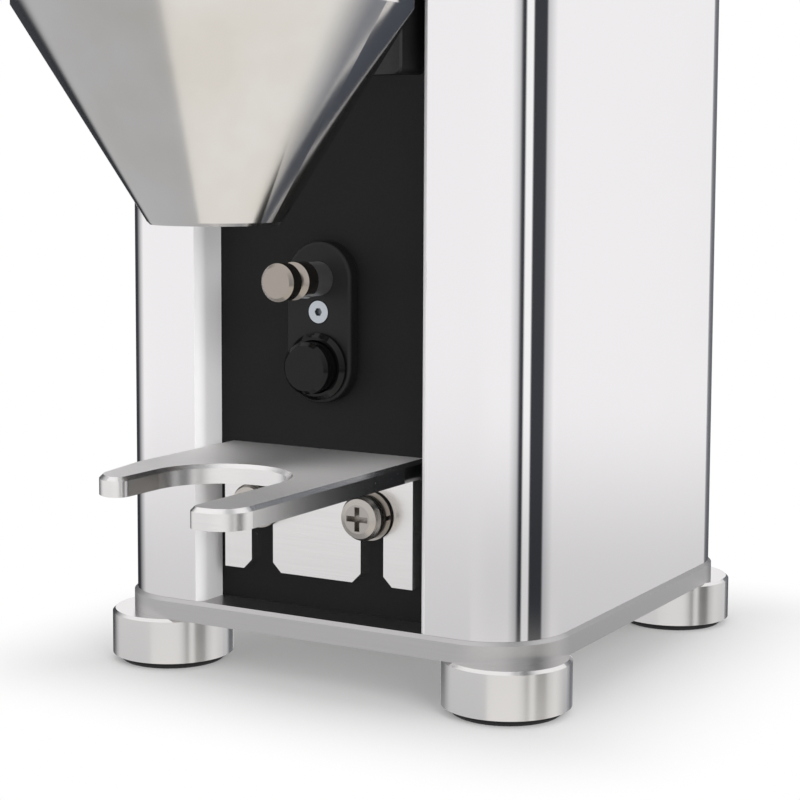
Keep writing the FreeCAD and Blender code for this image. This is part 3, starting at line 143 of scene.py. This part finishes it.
# Feet: discs turned from aluminium bar on a lathe, with a bevelled upper edge and faint tool rings round
# the side. Each is held by one screw from below that also draws the post down on the plate.
# The rings are drawn wider apart than a lathe leaves them, so that they show.
FOOT_BRIGHT = "#ECEBEA"
TOOL_RING_MM = 0.35
TOOL_RING_LENGTH_MM = 40
RING_ROUGHNESS_SWING = 0.3
RING_SHADE = 0.1
RING_BUMP = 0.1


def turned_metal(name, colour, roughness, axis=ALONG_Z, marks=1.0):
    """Lathe-turned metal: rings of fine tool marks along the turning axis, fainter where marks is low."""
    material, tree, shader = new_finish(name, {"Metallic": 1.0})
    place = add(tree, "ShaderNodeTexCoord").outputs["Object"]
    stretch = [per_metre(TOOL_RING_LENGTH_MM)] * 3
    stretch[axis] = per_metre(TOOL_RING_MM)
    squeezed = add(tree, "ShaderNodeMapping", {"Scale": stretch}, {"Vector": place})
    rings = add(tree, "ShaderNodeTexNoise", {"Scale": 1.0, "Detail": 2.0}, {"Vector": squeezed.outputs[0]})
    swing = RING_ROUGHNESS_SWING * marks
    spread = add(tree, "ShaderNodeMapRange",
                 {"To Min": roughness * (1 - swing), "To Max": roughness * (1 + swing)},
                 {"Value": rings.outputs[0]})
    tree.links.new(spread.outputs[0], shader.inputs["Roughness"])
    base = linear(colour)
    tint = add(tree, "ShaderNodeMix", {"A": toned(base, 1 - RING_SHADE * marks), "B": base},
               {"Factor": rings.outputs[0]}, data_type="RGBA")
    tree.links.new(tint.outputs["Result"], shader.inputs["Base Color"])
    bump = add(tree, "ShaderNodeBump", {"Strength": RING_BUMP * marks, "Distance": MARK_DEPTH},
               {"Height": rings.outputs[0]})
    tree.links.new(bump.outputs[0], shader.inputs["Normal"])
    return material


dress(turned_metal("turned_aluminium_foot", FOOT_BRIGHT, roughness=0.2, marks=0.2), "foot_discs")

# Pads: discs of black rubber, moulded with a fine grain and glued into the recess under each foot.
# Their edge shows as a thin dull black line on the table.
RUBBER_BLACK = "#151516"
RUBBER_GRAIN_MM = 0.6
GRAIN_SWING = 0.15


def grained_black(name, colour, grain_mm, roughness, bump, shine=0.5):
    """A dark surface with a pebbled grain, drawn coarse enough to show: rubber, plastic, coat or paint."""
    material, tree, shader = new_finish(name, {
        "Base Color": linear(colour),
        "IOR": 1.5,
        "Specular IOR Level": shine,
    })
    place = add(tree, "ShaderNodeTexCoord").outputs["Object"]
    grain = add(tree, "ShaderNodeTexNoise", {"Scale": per_metre(grain_mm), "Detail": 2.0}, {"Vector": place})
    spread = add(tree, "ShaderNodeMapRange",
                 {"To Min": roughness * (1 - GRAIN_SWING), "To Max": roughness * (1 + GRAIN_SWING)},
                 {"Value": grain.outputs[0]})
    tree.links.new(spread.outputs[0], shader.inputs["Roughness"])
    pebbles = add(tree, "ShaderNodeBump", {"Strength": bump, "Distance": MARK_DEPTH},
                  {"Height": grain.outputs[0]})
    tree.links.new(pebbles.outputs[0], shader.inputs["Normal"])
    return material


dress(grained_black("moulded_rubber", RUBBER_BLACK, RUBBER_GRAIN_MM, roughness=0.8, bump=0.4), "foot_pads")

# Posts and the screws of the frame: drawn steel rods, and machine screws and nuts, all zinc plated.
# They are hidden in the tower, the plate and the feet, apart from the button heads on the deck plate.
ZINC_GREY = "#B9B7B4"
dress(turned_metal("zinc_plated_steel", ZINC_GREY, roughness=0.3),
      "posts", "foot_screws", "panel_screws", "deck_screws", "button_nut", "chamber_screws", "motor_screws",
      "carrier_nut")

# Body shell: one sheet of stainless steel, polished to a mirror before it was folded round the frame.
# The two front edges are turned inwards, and those narrow returns are bead-blasted.
STEEL_WHITE = "#F1F0F1"
RETURN_EDGE = 0.0362
RETURN_FRONT = -0.010
RETURN_ROUGHNESS = 0.75
TOWER_CENTRE_Y = 0.0448
BEND_X = (0.0500, 0.0560)
BEND_Y = (0.0520, 0.0580)
BEND_ROUGHNESS = 0.05
SHEET_ROUGHNESS = (0.10, 0.14)
SHEET_HAZE_MM = 25


def mirror_steel():
    """Mirror-polished bends, flats with the finer haze of the rolled sheet, and blasted folded returns."""
    material, tree, shader = new_finish("polished_stainless_sheet", {"Base Color": linear(STEEL_WHITE)})
    place = add(tree, "ShaderNodeTexCoord").outputs["Object"]
    parts = add(tree, "ShaderNodeSeparateXYZ", links={0: place})
    side = add(tree, "ShaderNodeMath", links={0: parts.outputs["X"]}, operation="ABSOLUTE")
    depth = add(tree, "ShaderNodeMath", {1: TOWER_CENTRE_Y}, {0: parts.outputs["Y"]}, operation="SUBTRACT")
    reach = add(tree, "ShaderNodeMath", links={0: depth.outputs[0]}, operation="ABSOLUTE")
    across = add(tree, "ShaderNodeMapRange", {"From Min": BEND_X[0], "From Max": BEND_X[1]},
                 {"Value": side.outputs[0]}, interpolation_type="SMOOTHSTEP")
    along = add(tree, "ShaderNodeMapRange", {"From Min": BEND_Y[0], "From Max": BEND_Y[1]},
                {"Value": reach.outputs[0]}, interpolation_type="SMOOTHSTEP")
    bend = add(tree, "ShaderNodeMath", links={0: across.outputs[0], 1: along.outputs[0]},
               operation="MULTIPLY")
    near = add(tree, "ShaderNodeMath", {1: RETURN_EDGE}, {0: side.outputs[0]}, operation="LESS_THAN")
    front = add(tree, "ShaderNodeMath", {1: RETURN_FRONT}, {0: parts.outputs["Y"]}, operation="LESS_THAN")
    folded = add(tree, "ShaderNodeMath", links={0: near.outputs[0], 1: front.outputs[0]},
                 operation="MULTIPLY")
    haze = add(tree, "ShaderNodeTexNoise", {"Scale": per_metre(SHEET_HAZE_MM), "Detail": 3.0},
               {"Vector": place})
    sheet = add(tree, "ShaderNodeMapRange", {"To Min": SHEET_ROUGHNESS[0], "To Max": SHEET_ROUGHNESS[1]},
                {"Value": haze.outputs[0]})
    polish = add(tree, "ShaderNodeMix", {"B": BEND_ROUGHNESS},
                 {"Factor": bend.outputs[0], "A": sheet.outputs[0]})
    finish = add(tree, "ShaderNodeMix", {"B": RETURN_ROUGHNESS},
                 {"Factor": folded.outputs[0], "A": polish.outputs[0]})
    tree.links.new(finish.outputs[0], shader.inputs["Roughness"])
    blasted = add(tree, "ShaderNodeMix", {"A": 1.0, "B": 0.0}, {"Factor": folded.outputs[0]})
    tree.links.new(blasted.outputs[0], shader.inputs["Metallic"])
    return material


dress(mirror_steel(), "body_shell")

# Front panel: an angled steel sheet with a fine black powder coat. It closes the recess behind the fork
# and carries everything on the front of the machine.
COAT_BLACK = "#111112"
COAT_GRAIN_MM = 0.7
dress(grained_black("powder_coated_steel", COAT_BLACK, COAT_GRAIN_MM, roughness=0.6, bump=0.15, shine=0.25),
      "front_panel")

# Oval switch plate: milled from aluminium, black anodised and a little smoother than the panel behind it.
# One countersunk screw with a hexagon socket holds it.
ANODISED_BLACK = "#151516"
ANODISED_GRAIN_MM = 0.5
SCREW_SILVER = "#C6CDD3"
# Painted shade: the darker colour laid inside the hexagon socket, where shade falls in the recess.
HEX_PAINTED_SHADE = "#6B7075"
HEX_RADIUS = 0.0018
HEX_DEPTH = 0.0003


def overlay(material, socket, mask, value):
    """Lays a second tone or roughness over a finish where the mask is 1."""
    tree = material.node_tree
    shader = tree.nodes["Principled BSDF"]
    under = shader.inputs[socket].links[0].from_socket
    kind = "RGBA" if socket == "Base Color" else "FLOAT"
    mixed = add(tree, "ShaderNodeMix", {"B": value}, {"Factor": mask, "A": under}, data_type=kind)
    tree.links.new(mixed.outputs["Result"], shader.inputs[socket])


def paint_socket_shade(material, node, radius, depth, shade):
    """Painted shade inside the drive sockets of screw heads that stand side by side and face the front."""
    low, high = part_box(node)
    head = (high.z - low.z) / 2
    tree = material.node_tree
    place = add(tree, "ShaderNodeTexCoord").outputs["Object"]
    parts = add(tree, "ShaderNodeSeparateXYZ", links={0: place})
    side = add(tree, "ShaderNodeMath", links={0: parts.outputs["X"]}, operation="ABSOLUTE")
    aside = add(tree, "ShaderNodeMath", {1: high.x - head}, {0: side.outputs[0]}, operation="SUBTRACT")
    above = add(tree, "ShaderNodeMath", {1: low.z + head}, {0: parts.outputs["Z"]}, operation="SUBTRACT")
    spoke = add(tree, "ShaderNodeCombineXYZ", links={"X": aside.outputs[0], "Y": above.outputs[0]})
    away = add(tree, "ShaderNodeVectorMath", links={0: spoke.outputs[0]}, operation="LENGTH")
    near = add(tree, "ShaderNodeMath", {1: radius}, {0: away.outputs["Value"]}, operation="LESS_THAN")
    deep = add(tree, "ShaderNodeMath", {1: low.y + depth}, {0: parts.outputs["Y"]}, operation="GREATER_THAN")
    inside = add(tree, "ShaderNodeMath", links={0: near.outputs[0], 1: deep.outputs[0]},
                 operation="MULTIPLY")
    overlay(material, "Base Color", inside.outputs[0], linear(shade))


anodised_black = grained_black("black_anodised_plate", ANODISED_BLACK, ANODISED_GRAIN_MM,
                               roughness=0.45, bump=0.08, shine=0.3)
dress(anodised_black, "switch_plate")
bright_screw = turned_metal("bright_zinc_screw", SCREW_SILVER, roughness=0.35, axis=ALONG_Y)
# The inside of the hexagon socket gets painted shade.
paint_socket_shade(bright_screw, "plate_screw", HEX_RADIUS, HEX_DEPTH, HEX_PAINTED_SHADE)
dress(bright_screw, "plate_screw")

# Hold-down pin: turned from stainless bar. A disc, a groove and a ring at its tip keep a portafilter
# from riding up while its basket is filled. The shank behind the ring is left unpolished.
PIN_STEEL = "#AAA29A"
PIN_SHANK = "#BDBBBD"
SHANK_FRONT_Y = -0.0268
SHANK_ROUGHNESS = 0.5
pin_metal = turned_metal("turned_stainless_pin", PIN_STEEL, roughness=0.2, axis=ALONG_Y)
pin_place = add(pin_metal.node_tree, "ShaderNodeTexCoord").outputs["Object"]
pin_parts = add(pin_metal.node_tree, "ShaderNodeSeparateXYZ", links={0: pin_place})
shank = add(pin_metal.node_tree, "ShaderNodeMath", {1: SHANK_FRONT_Y}, {0: pin_parts.outputs["Y"]},
            operation="GREATER_THAN")
overlay(pin_metal, "Base Color", shank.outputs[0], linear(PIN_SHANK))
overlay(pin_metal, "Roughness", shank.outputs[0], SHANK_ROUGHNESS)
dress(pin_metal, "hold_down_pin")

# Start button: a push button with a collar and a domed cap, both moulded in glossy black plastic.
# A coil of spring wire in the barrel brings the cap back after it goes down on the contacts.
GLOSS_BLACK = "#0A0A0B"
GLOSS_WAVE_MM = 3.0
CONTACT_BLACK = "#26262A"
CONTACT_GRAIN_MM = 0.8
SPRING_STEEL = "#BFBDB8"
COIL_TURNS = 8
COIL_STEPS = 24
WIRE_SIDES = 10
WIRE_RADIUS = 0.0004
MERGE_WITHIN = 1e-6
gloss_plastic = grained_black("glossy_moulded_plastic", GLOSS_BLACK, GLOSS_WAVE_MM,
                              roughness=0.08, bump=0.02, shine=0.25)
dress(gloss_plastic, "button_cap", "button_bezel")
coil_low, coil_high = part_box("button_spring")
coil_radius = coil_high.x - WIRE_RADIUS
coil_length = coil_high.y - coil_low.y - 2 * WIRE_RADIUS
bpy.ops.object.select_all(action="DESELECT")
bpy.ops.mesh.primitive_circle_add(vertices=WIRE_SIDES, radius=WIRE_RADIUS, location=(coil_radius, 0, 0))
coil = bpy.context.object
coil.name = "return_spring_coil"
bpy.ops.object.transform_apply(location=True, rotation=False, scale=False)
winding = coil.modifiers.new("winding", "SCREW")
winding.axis = "Y"
winding.iterations = COIL_TURNS
winding.screw_offset = coil_length / COIL_TURNS
winding.steps = COIL_STEPS
winding.render_steps = COIL_STEPS
bpy.ops.object.modifier_apply(modifier=winding.name)
bpy.ops.object.mode_set(mode="EDIT")
bpy.ops.mesh.select_all(action="SELECT")
bpy.ops.mesh.remove_doubles(threshold=MERGE_WITHIN)
bpy.ops.mesh.fill_holes(sides=0)
bpy.ops.mesh.select_all(action="SELECT")
bpy.ops.mesh.normals_make_consistent(inside=False)
bpy.ops.object.mode_set(mode="OBJECT")
coil.location = (0, coil_low.y + WIRE_RADIUS, (coil_low.z + coil_high.z) / 2)
bpy.ops.object.transform_apply(location=True, rotation=False, scale=False)
bpy.ops.object.shade_smooth()
spring_wire = turned_metal("spring_wire", SPRING_STEEL, roughness=0.25, axis=ALONG_Y)
coil.data.materials.append(spring_wire)
dress(spring_wire, "button_spring")
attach(coil, "housing")
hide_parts("button_spring")
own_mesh(coil)
dress(grained_black("contact_moulding", CONTACT_BLACK, CONTACT_GRAIN_MM, roughness=0.5, bump=0.1),
      "contact_block")

# Portafilter fork: sawn and milled from aluminium bar, with bevelled upper edges and a brushed surface
# that is dullest on top. It hangs on two cross-recess screws through slots, over a spring washer and a
# plain washer each.
FORK_GREY = "#F4F3F2"
FORK_FACE_ROUGHNESS = 0.62
FACING_UP = 0.95
SCREW_STEEL = "#BEB9B3"
# Painted shade: the darker colour laid inside the cross recesses, where shade falls.
CROSS_PAINTED_SHADE = "#97928D"
CROSS_RADIUS = 0.0034
CROSS_DEPTH = 0.0009
fork_metal = brushed_metal("brushed_fork_aluminium", FORK_GREY, along=ALONG_X, roughness=0.26)
fork_normal = add(fork_metal.node_tree, "ShaderNodeNewGeometry").outputs["Normal"]
fork_up = add(fork_metal.node_tree, "ShaderNodeSeparateXYZ", links={0: fork_normal})
fork_face = add(fork_metal.node_tree, "ShaderNodeMath", {1: FACING_UP}, {0: fork_up.outputs["Z"]},
                operation="GREATER_THAN")
overlay(fork_metal, "Roughness", fork_face.outputs[0], FORK_FACE_ROUGHNESS)
dress(fork_metal, "portafilter_fork")
clamp_screw = turned_metal("stainless_clamp_screw", SCREW_STEEL, roughness=0.28, axis=ALONG_Y)
# The inside of each cross recess gets painted shade.
paint_socket_shade(clamp_screw, "fork_screws", CROSS_RADIUS, CROSS_DEPTH, CROSS_PAINTED_SHADE)
dress(clamp_screw, "fork_screws", "fork_spring_washers", "fork_washers")

# Cone: spun from aluminium sheet over a former and polished by hand, so soft waves and smears stay in the
# shine. It sits by its rolled lip in the hoop of a black holder, under a spout of the same metal.
CONE_SILVER = "#E4E3E2"
SMEAR_MM = 28
SMEAR_BAND = (0.35, 0.65)
SMEAR_TINT = (0.93, 0.91, 0.87)
SPIN_WAVE_MM = 60
SPIN_WAVE_DEPTH = 0.001
SPIN_SWING = 0.15
MOULDED_BLACK = "#1C1C1D"
MOULDED_GRAIN_MM = 0.9


def spun_metal(name, colour, roughness):
    """Spun sheet: rings too fine to see draw each reflection out along the cone, over soft smears."""
    material, tree, shader = new_finish(name, {
        "Metallic": 1.0,
        "Anisotropic": 0.85,
        "Anisotropic Rotation": 0.25,
    })
    place = add(tree, "ShaderNodeTexCoord").outputs["Object"]
    cloud = add(tree, "ShaderNodeTexNoise", {"Scale": per_metre(SMEAR_MM), "Detail": 4.0}, {"Vector": place})
    smear = add(tree, "ShaderNodeMapRange", {"From Min": SMEAR_BAND[0], "From Max": SMEAR_BAND[1]},
                {"Value": cloud.outputs[0]})
    base = linear(colour)
    smeared = (*[channel * share for channel, share in zip(base, SMEAR_TINT)], 1.0)
    tint = add(tree, "ShaderNodeMix", {"A": smeared, "B": base}, {"Factor": smear.outputs[0]},
               data_type="RGBA")
    tree.links.new(tint.outputs["Result"], shader.inputs["Base Color"])
    spread = add(tree, "ShaderNodeMapRange",
                 {"To Min": roughness * (1 - SPIN_SWING), "To Max": roughness * (1 + SPIN_SWING)},
                 {"Value": cloud.outputs[0]})
    tree.links.new(spread.outputs[0], shader.inputs["Roughness"])
    wave = add(tree, "ShaderNodeTexNoise", {"Scale": per_metre(SPIN_WAVE_MM), "Detail": 0.0},
               {"Vector": place})
    bump = add(tree, "ShaderNodeBump", {"Strength": 0.08, "Distance": SPIN_WAVE_DEPTH},
               {"Height": wave.outputs[0]})
    tree.links.new(bump.outputs[0], shader.inputs["Normal"])
    rings = add(tree, "ShaderNodeTangent", direction_type="RADIAL", axis="Z")
    tree.links.new(rings.outputs[0], shader.inputs["Tangent"])
    return material


dress(spun_metal("spun_aluminium", CONE_SILVER, roughness=0.15), "funnel", "outlet_spout")
moulded_black = grained_black("moulded_black_plastic", MOULDED_BLACK, MOULDED_GRAIN_MM,
                              roughness=0.5, bump=0.2)
dress(moulded_black, "funnel_holder")
# The tower's polished front shows the plain tent, so what stands close before it is kept out of mirrors.
for clear_of_mirror in ("funnel", "funnel_holder", "portafilter_fork"):
    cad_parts[clear_of_mirror].visible_glossy = False

# Grinding chamber and motor: cast and machined aluminium with a painted can, all inside the tower.
# The steel burrs have slanted teeth cut in their faces.
CAST_GREY = "#A9A9AA"
BURR_GREY = "#9B9A98"
COPPER = "#B4683A"
CORE_GREY = "#6B6763"
MOTOR_PAINT = "#33363A"
PAINT_GRAIN_MM = 1.2
CAN_SILVER = "#C2C3C5"
dress(turned_metal("cast_aluminium", CAST_GREY, roughness=0.45),
      "grinding_chamber", "motor_top_bell", "motor_bottom_bell", "burr_carrier", "upper_carrier")
dress(turned_metal("tool_steel", BURR_GREY, roughness=0.3), "lower_burr", "upper_burr")
dress(turned_metal("bright_shaft_steel", SPRING_STEEL, roughness=0.2),
      "motor_shaft", "bearings", "index_pin")
dress(turned_metal("varnished_copper", COPPER, roughness=0.35), "motor_windings")
dress(turned_metal("stacked_core_sheet", CORE_GREY, roughness=0.5), "stator_core", "rotor_core")
dress(grained_black("motor_paint", MOTOR_PAINT, PAINT_GRAIN_MM, roughness=0.45, bump=0.15), "motor_can")
dress(turned_metal("drawn_capacitor_can", CAN_SILVER, roughness=0.3), "run_capacitor")

# Grind collar: moulded in black plastic with a fluted grip. It turns on the chamber's neck and lifts the
# upper burr on a thread.
dress(moulded_black, "grind_collar")

# Hopper: a bowl moulded in smoke-tinted clear plastic, between a black foot that sits in the collar and a
# loose black lid. A steel gate slides through the foot and shuts off the beans.
SMOKE = "#6E665C"
SMOKE_FLOW_MM = 30
SMOKE_ROUGHNESS = (0.03, 0.08)
GATE_STEEL = "#C4C3C2"


def smoked_plastic():
    """Clear moulded plastic with a brown-grey tint and a smooth gloss."""
    material, tree, shader = new_finish("smoked_clear_plastic", {
        "Base Color": linear(SMOKE),
        "Transmission Weight": 0.9,
        "IOR": 1.49,
    })
    place = add(tree, "ShaderNodeTexCoord").outputs["Object"]
    flow = add(tree, "ShaderNodeTexNoise", {"Scale": per_metre(SMOKE_FLOW_MM), "Detail": 2.0},
               {"Vector": place})
    gloss = add(tree, "ShaderNodeMapRange", {"To Min": SMOKE_ROUGHNESS[0], "To Max": SMOKE_ROUGHNESS[1]},
                {"Value": flow.outputs[0]})
    tree.links.new(gloss.outputs[0], shader.inputs["Roughness"])
    return material


dress(smoked_plastic(), "hopper_bowl")
dress(moulded_black, "hopper_base", "hopper_lid")
dress(brushed_metal("brushed_gate_steel", GATE_STEEL, along=ALONG_X, roughness=0.3), "hopper_gate")

# Electrical fittings on the back: a gland for the cord, held by a nut inside the shell, and a rocker switch
# in its frame. All are moulded in black plastic, and the rocker is the glossy one.
dress(moulded_black, "cord_gland", "gland_nut", "rocker_housing")
dress(gloss_plastic, "rocker")

# Floor: a sheet of pale card, wide enough to have no edge in the picture. It fades to plain white away from
# the object, so that only the soft shadow round the feet shows. Metal sees the surround in its place.
FLOOR_SIZE = 6.0
FLOOR_PALE = "#DCDCDC"
SHADOW_REACH = (-0.02, 0.055)
plate_low, plate_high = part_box("base_plate")
plate_middle = (plate_low + plate_high) / 2
plate_half = (plate_high - plate_low) / 2
bpy.ops.object.select_all(action="DESELECT")
bpy.ops.mesh.primitive_plane_add(size=FLOOR_SIZE)
floor = bpy.context.object
floor.name = "floor"
floor.visible_glossy = False
card, card_tree, card_shader = new_finish("pale_card", {
    "Base Color": linear(FLOOR_PALE),
    "Roughness": 0.9,
    "Specular IOR Level": 0.0,
})
card_place = add(card_tree, "ShaderNodeTexCoord").outputs["Object"]
card_centred = add(card_tree, "ShaderNodeVectorMath", {1: (0, plate_middle.y, 0)}, {0: card_place},
                   operation="SUBTRACT")
card_outward = add(card_tree, "ShaderNodeVectorMath", links={0: card_centred.outputs[0]},
                   operation="ABSOLUTE")
card_beyond = add(card_tree, "ShaderNodeVectorMath", {1: (plate_half.x, plate_half.y, 0)},
                  {0: card_outward.outputs[0]}, operation="SUBTRACT")
card_outside = add(card_tree, "ShaderNodeVectorMath", {1: (0, 0, 0)}, {0: card_beyond.outputs[0]},
                   operation="MAXIMUM")
card_far = add(card_tree, "ShaderNodeVectorMath", links={0: card_outside.outputs[0]}, operation="LENGTH")
card_fade = add(card_tree, "ShaderNodeMapRange", {"From Min": SHADOW_REACH[0], "From Max": SHADOW_REACH[1]},
                {"Value": card_far.outputs["Value"]}, interpolation_type="SMOOTHSTEP")
card_path = add(card_tree, "ShaderNodeLightPath")
card_lift = add(card_tree, "ShaderNodeMath",
                links={0: card_path.outputs["Is Camera Ray"], 1: card_fade.outputs[0]}, operation="MULTIPLY")
card_white = add(card_tree, "ShaderNodeEmission")
card_mix = add(card_tree, "ShaderNodeMixShader",
               links={0: card_lift.outputs[0], 1: card_shader.outputs[0], 2: card_white.outputs[0]})
card_tree.links.new(card_mix.outputs[0], card_tree.nodes["Material Output"].inputs["Surface"])
floor.data.materials.append(card)

# Studio surround: an even white tent that lights the object from all sides. Polished metal also sees dark
# drapes in it, one on the right with a bright slit and one behind, and a greyer table top on the left.
# Tones are levels of light, edges stand at bearings in degrees, and heights are sines of the elevation.
DRAPE_DARK = (0.045, 0.048, 0.055, 1)
DRAPE_EDGE = (0.62, 0.62, 0.63, 1)
REAR_GREY = (0.15, 0.155, 0.17, 1)
TENT_WHITE = (0.97, 0.96, 0.965, 1)
TABLE_GREY = (0.53, 0.53, 0.54, 1)
TABLE_CREAM = (0.94, 0.915, 0.88, 1)
TABLE_DUSK = (0.24, 0.25, 0.28, 1)
PLAIN_WHITE = (1, 1, 1, 1)
DRAPE_EDGES = [
    (-180, REAR_GREY), (-164, REAR_GREY), (-161, TENT_WHITE),
    (-139, TENT_WHITE), (-136, DRAPE_DARK), (-112, DRAPE_DARK), (-88, TENT_WHITE),
    (46, TENT_WHITE), (57, DRAPE_EDGE), (61, DRAPE_DARK), (65, DRAPE_DARK), (67, PLAIN_WHITE),
    (76, PLAIN_WHITE), (78, DRAPE_DARK), (98, DRAPE_DARK), (101, DRAPE_EDGE), (118, TENT_WHITE),
    (161, TENT_WHITE), (169, REAR_GREY),
]
TABLE_EDGES = [
    (-180, TABLE_GREY), (-8, TABLE_GREY), (-7, TABLE_CREAM), (124, TABLE_CREAM), (150, TABLE_DUSK),
]
DUSK_Z = (-0.125, -0.225)
DUSK_TONE = 0.70
TABLE_Z = (-0.23, -0.33)
world = bpy.data.worlds.new("white_tent")
bpy.context.scene.world = world
world.use_nodes = True
tent = world.node_tree
tent_background = tent.nodes["Background"]
direction = add(tent, "ShaderNodeTexCoord").outputs["Generated"]
toward = add(tent, "ShaderNodeSeparateXYZ", links={0: direction})
forward = add(tent, "ShaderNodeMath", {1: -1.0}, {0: toward.outputs["Y"]}, operation="MULTIPLY")
bearing = add(tent, "ShaderNodeMath", links={0: toward.outputs["X"], 1: forward.outputs[0]},
              operation="ARCTAN2")
turn = add(tent, "ShaderNodeMapRange", {"From Min": -math.pi, "From Max": math.pi},
           {"Value": bearing.outputs[0]})


def by_bearing(edges):
    """Tones round the object, each from one bearing to the next, with 0 straight in front."""
    ramp = add(tent, "ShaderNodeValToRGB", links={"Fac": turn.outputs[0]})
    stops = ramp.color_ramp.elements
    stops.remove(stops[-1])
    stops[0].color = edges[0][1]
    for degrees, shade in edges[1:]:
        stops.new((degrees + 180) / 360).color = shade
    return ramp.outputs[0]


dusk = add(tent, "ShaderNodeMapRange",
           {"From Min": DUSK_Z[1], "From Max": DUSK_Z[0], "To Min": DUSK_TONE, "To Max": 1.0},
           {"Value": toward.outputs["Z"]}, interpolation_type="SMOOTHSTEP")
tent_wall = add(tent, "ShaderNodeMix", {"Factor": 1.0},
                {"A": by_bearing(DRAPE_EDGES), "B": dusk.outputs[0]},
                data_type="RGBA", blend_type="MULTIPLY")
downward = add(tent, "ShaderNodeMapRange", {"From Min": TABLE_Z[0], "From Max": TABLE_Z[1]},
               {"Value": toward.outputs["Z"]}, interpolation_type="SMOOTHSTEP")
table_top = by_bearing(TABLE_EDGES)
mirrored = add(tent, "ShaderNodeMix",
               links={"Factor": downward.outputs[0], "A": tent_wall.outputs["Result"], "B": table_top},
               data_type="RGBA")
rays = add(tent, "ShaderNodeLightPath")
seen = add(tent, "ShaderNodeMix", {"A": PLAIN_WHITE},
           {"Factor": rays.outputs["Is Glossy Ray"], "B": mirrored.outputs["Result"]}, data_type="RGBA")
tent.links.new(seen.outputs["Result"], tent_background.inputs["Color"])
tent_background.inputs["Strength"].default_value = 1.0

# Black flags: dark cards close before the right front of the tower and its folded edge, so that the edge of
# the cone and the side of the fork show a dark reflection there, as a photographer sets them.
FLAG_GAP = 0.0006
FACING_FRONT = Euler((math.pi / 2, 0, 0))
FACING_LEFT = Euler((0, -math.pi / 2, 0))
CONE_FLAG_TONE = "#4F535C"
CONE_FLAG_X = (RETURN_EDGE, 0.056)
CONE_FLAG_Z = (0.076, 0.300)
FORK_FLAG_TONE = "#17181A"
FORK_FLAG_X = (0.0315, 0.076)
FORK_FLAG_Z = (0.035, 0.076)
FOLD_FLAG_X = 0.0325
FOLD_FLAG_DEPTH = 0.012
FOLD_FLAG_Z = (0.060, 0.076)


def black_flag(name, tone, facing, low, high):
    """A card between two corners. Only reflections see it, and only from its front."""
    low, high = Vector(low), Vector(high)
    spread = facing.to_matrix().inverted() @ (high - low)
    bpy.ops.object.select_all(action="DESELECT")
    bpy.ops.mesh.primitive_plane_add(size=1, rotation=facing, location=(low + high) / 2)
    flag = bpy.context.object
    flag.name = name
    flag.scale = (abs(spread.x), abs(spread.y), 1)
    bpy.ops.object.transform_apply(location=True, rotation=True, scale=True)
    flag.visible_camera = False
    flag.visible_diffuse = False
    flag.visible_shadow = False
    flag.visible_transmission = False
    felt, tree, shader = new_finish(name + "_felt", {
        "Base Color": linear(tone),
        "Roughness": 0.9,
        "Specular IOR Level": 0.0,
    })
    behind = add(tree, "ShaderNodeNewGeometry").outputs["Backfacing"]
    clear = add(tree, "ShaderNodeBsdfTransparent")
    sided = add(tree, "ShaderNodeMixShader", links={0: behind, 1: shader.outputs[0], 2: clear.outputs[0]})
    tree.links.new(sided.outputs[0], tree.nodes["Material Output"].inputs["Surface"])
    flag.data.materials.append(felt)


shell_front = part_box("body_shell")[0].y
flag_y = shell_front - FLAG_GAP
black_flag("cone_flag", CONE_FLAG_TONE, FACING_FRONT,
           (CONE_FLAG_X[0], flag_y, CONE_FLAG_Z[0]), (CONE_FLAG_X[1], flag_y, CONE_FLAG_Z[1]))
black_flag("fork_flag", FORK_FLAG_TONE, FACING_FRONT,
           (FORK_FLAG_X[0], flag_y, FORK_FLAG_Z[0]), (FORK_FLAG_X[1], flag_y, FORK_FLAG_Z[1]))
black_flag("fold_flag", FORK_FLAG_TONE, FACING_LEFT,
           (FOLD_FLAG_X, flag_y, FOLD_FLAG_Z[0]), (FOLD_FLAG_X, flag_y + FOLD_FLAG_DEPTH, FOLD_FLAG_Z[1]))

# Side lamp: a large soft box at the right front, which fills the recess and the folded edge on its left.
# Polished metal shows the tent and not the lamp.
LAMP_PLACE = Vector((0.85, -0.55, 0.45))
LAMP_SIZE = 0.5
LAMP_WATTS = 5.0
soft_box = bpy.data.lights.new("side_soft_box", "AREA")
soft_box.size = LAMP_SIZE
soft_box.energy = LAMP_WATTS
lamp = bpy.data.objects.new("side_soft_box", soft_box)
bpy.context.collection.objects.link(lamp)
lamp.location = LAMP_PLACE
lamp.rotation_euler = (-LAMP_PLACE).to_track_quat("-Z", "Y").to_euler()
lamp.visible_glossy = False

# Camera: at the photograph's angle, to the right of the front and a little above the fork, so that the
# lower part of the tower fills the frame. The shift moves the frame down without tilting the lens more.
CAMERA_PLACE = Vector((0.272548, -0.450349, 0.144174))
CAMERA_TURN = math.radians(29.856)
CAMERA_DIP = math.radians(5.555)
CAMERA_ROLL = math.radians(0.244)
CAMERA_LENS = 86.52
CAMERA_SENSOR = 36.0
CAMERA_SHIFT = -0.075
lens = bpy.data.cameras.new("camera")
lens.lens = CAMERA_LENS
lens.sensor_width = CAMERA_SENSOR
lens.shift_y = CAMERA_SHIFT
camera = bpy.data.objects.new("camera", lens)
bpy.context.collection.objects.link(camera)
look = Matrix.Rotation(CAMERA_TURN, 4, "Z")
look = look @ Matrix.Rotation(math.pi / 2 - CAMERA_DIP, 4, "X")
look = look @ Matrix.Rotation(CAMERA_ROLL, 4, "Z")
camera.matrix_world = Matrix.Translation(CAMERA_PLACE) @ look
bpy.context.scene.camera = camera
bpy.context.scene.view_settings.view_transform = "Standard"
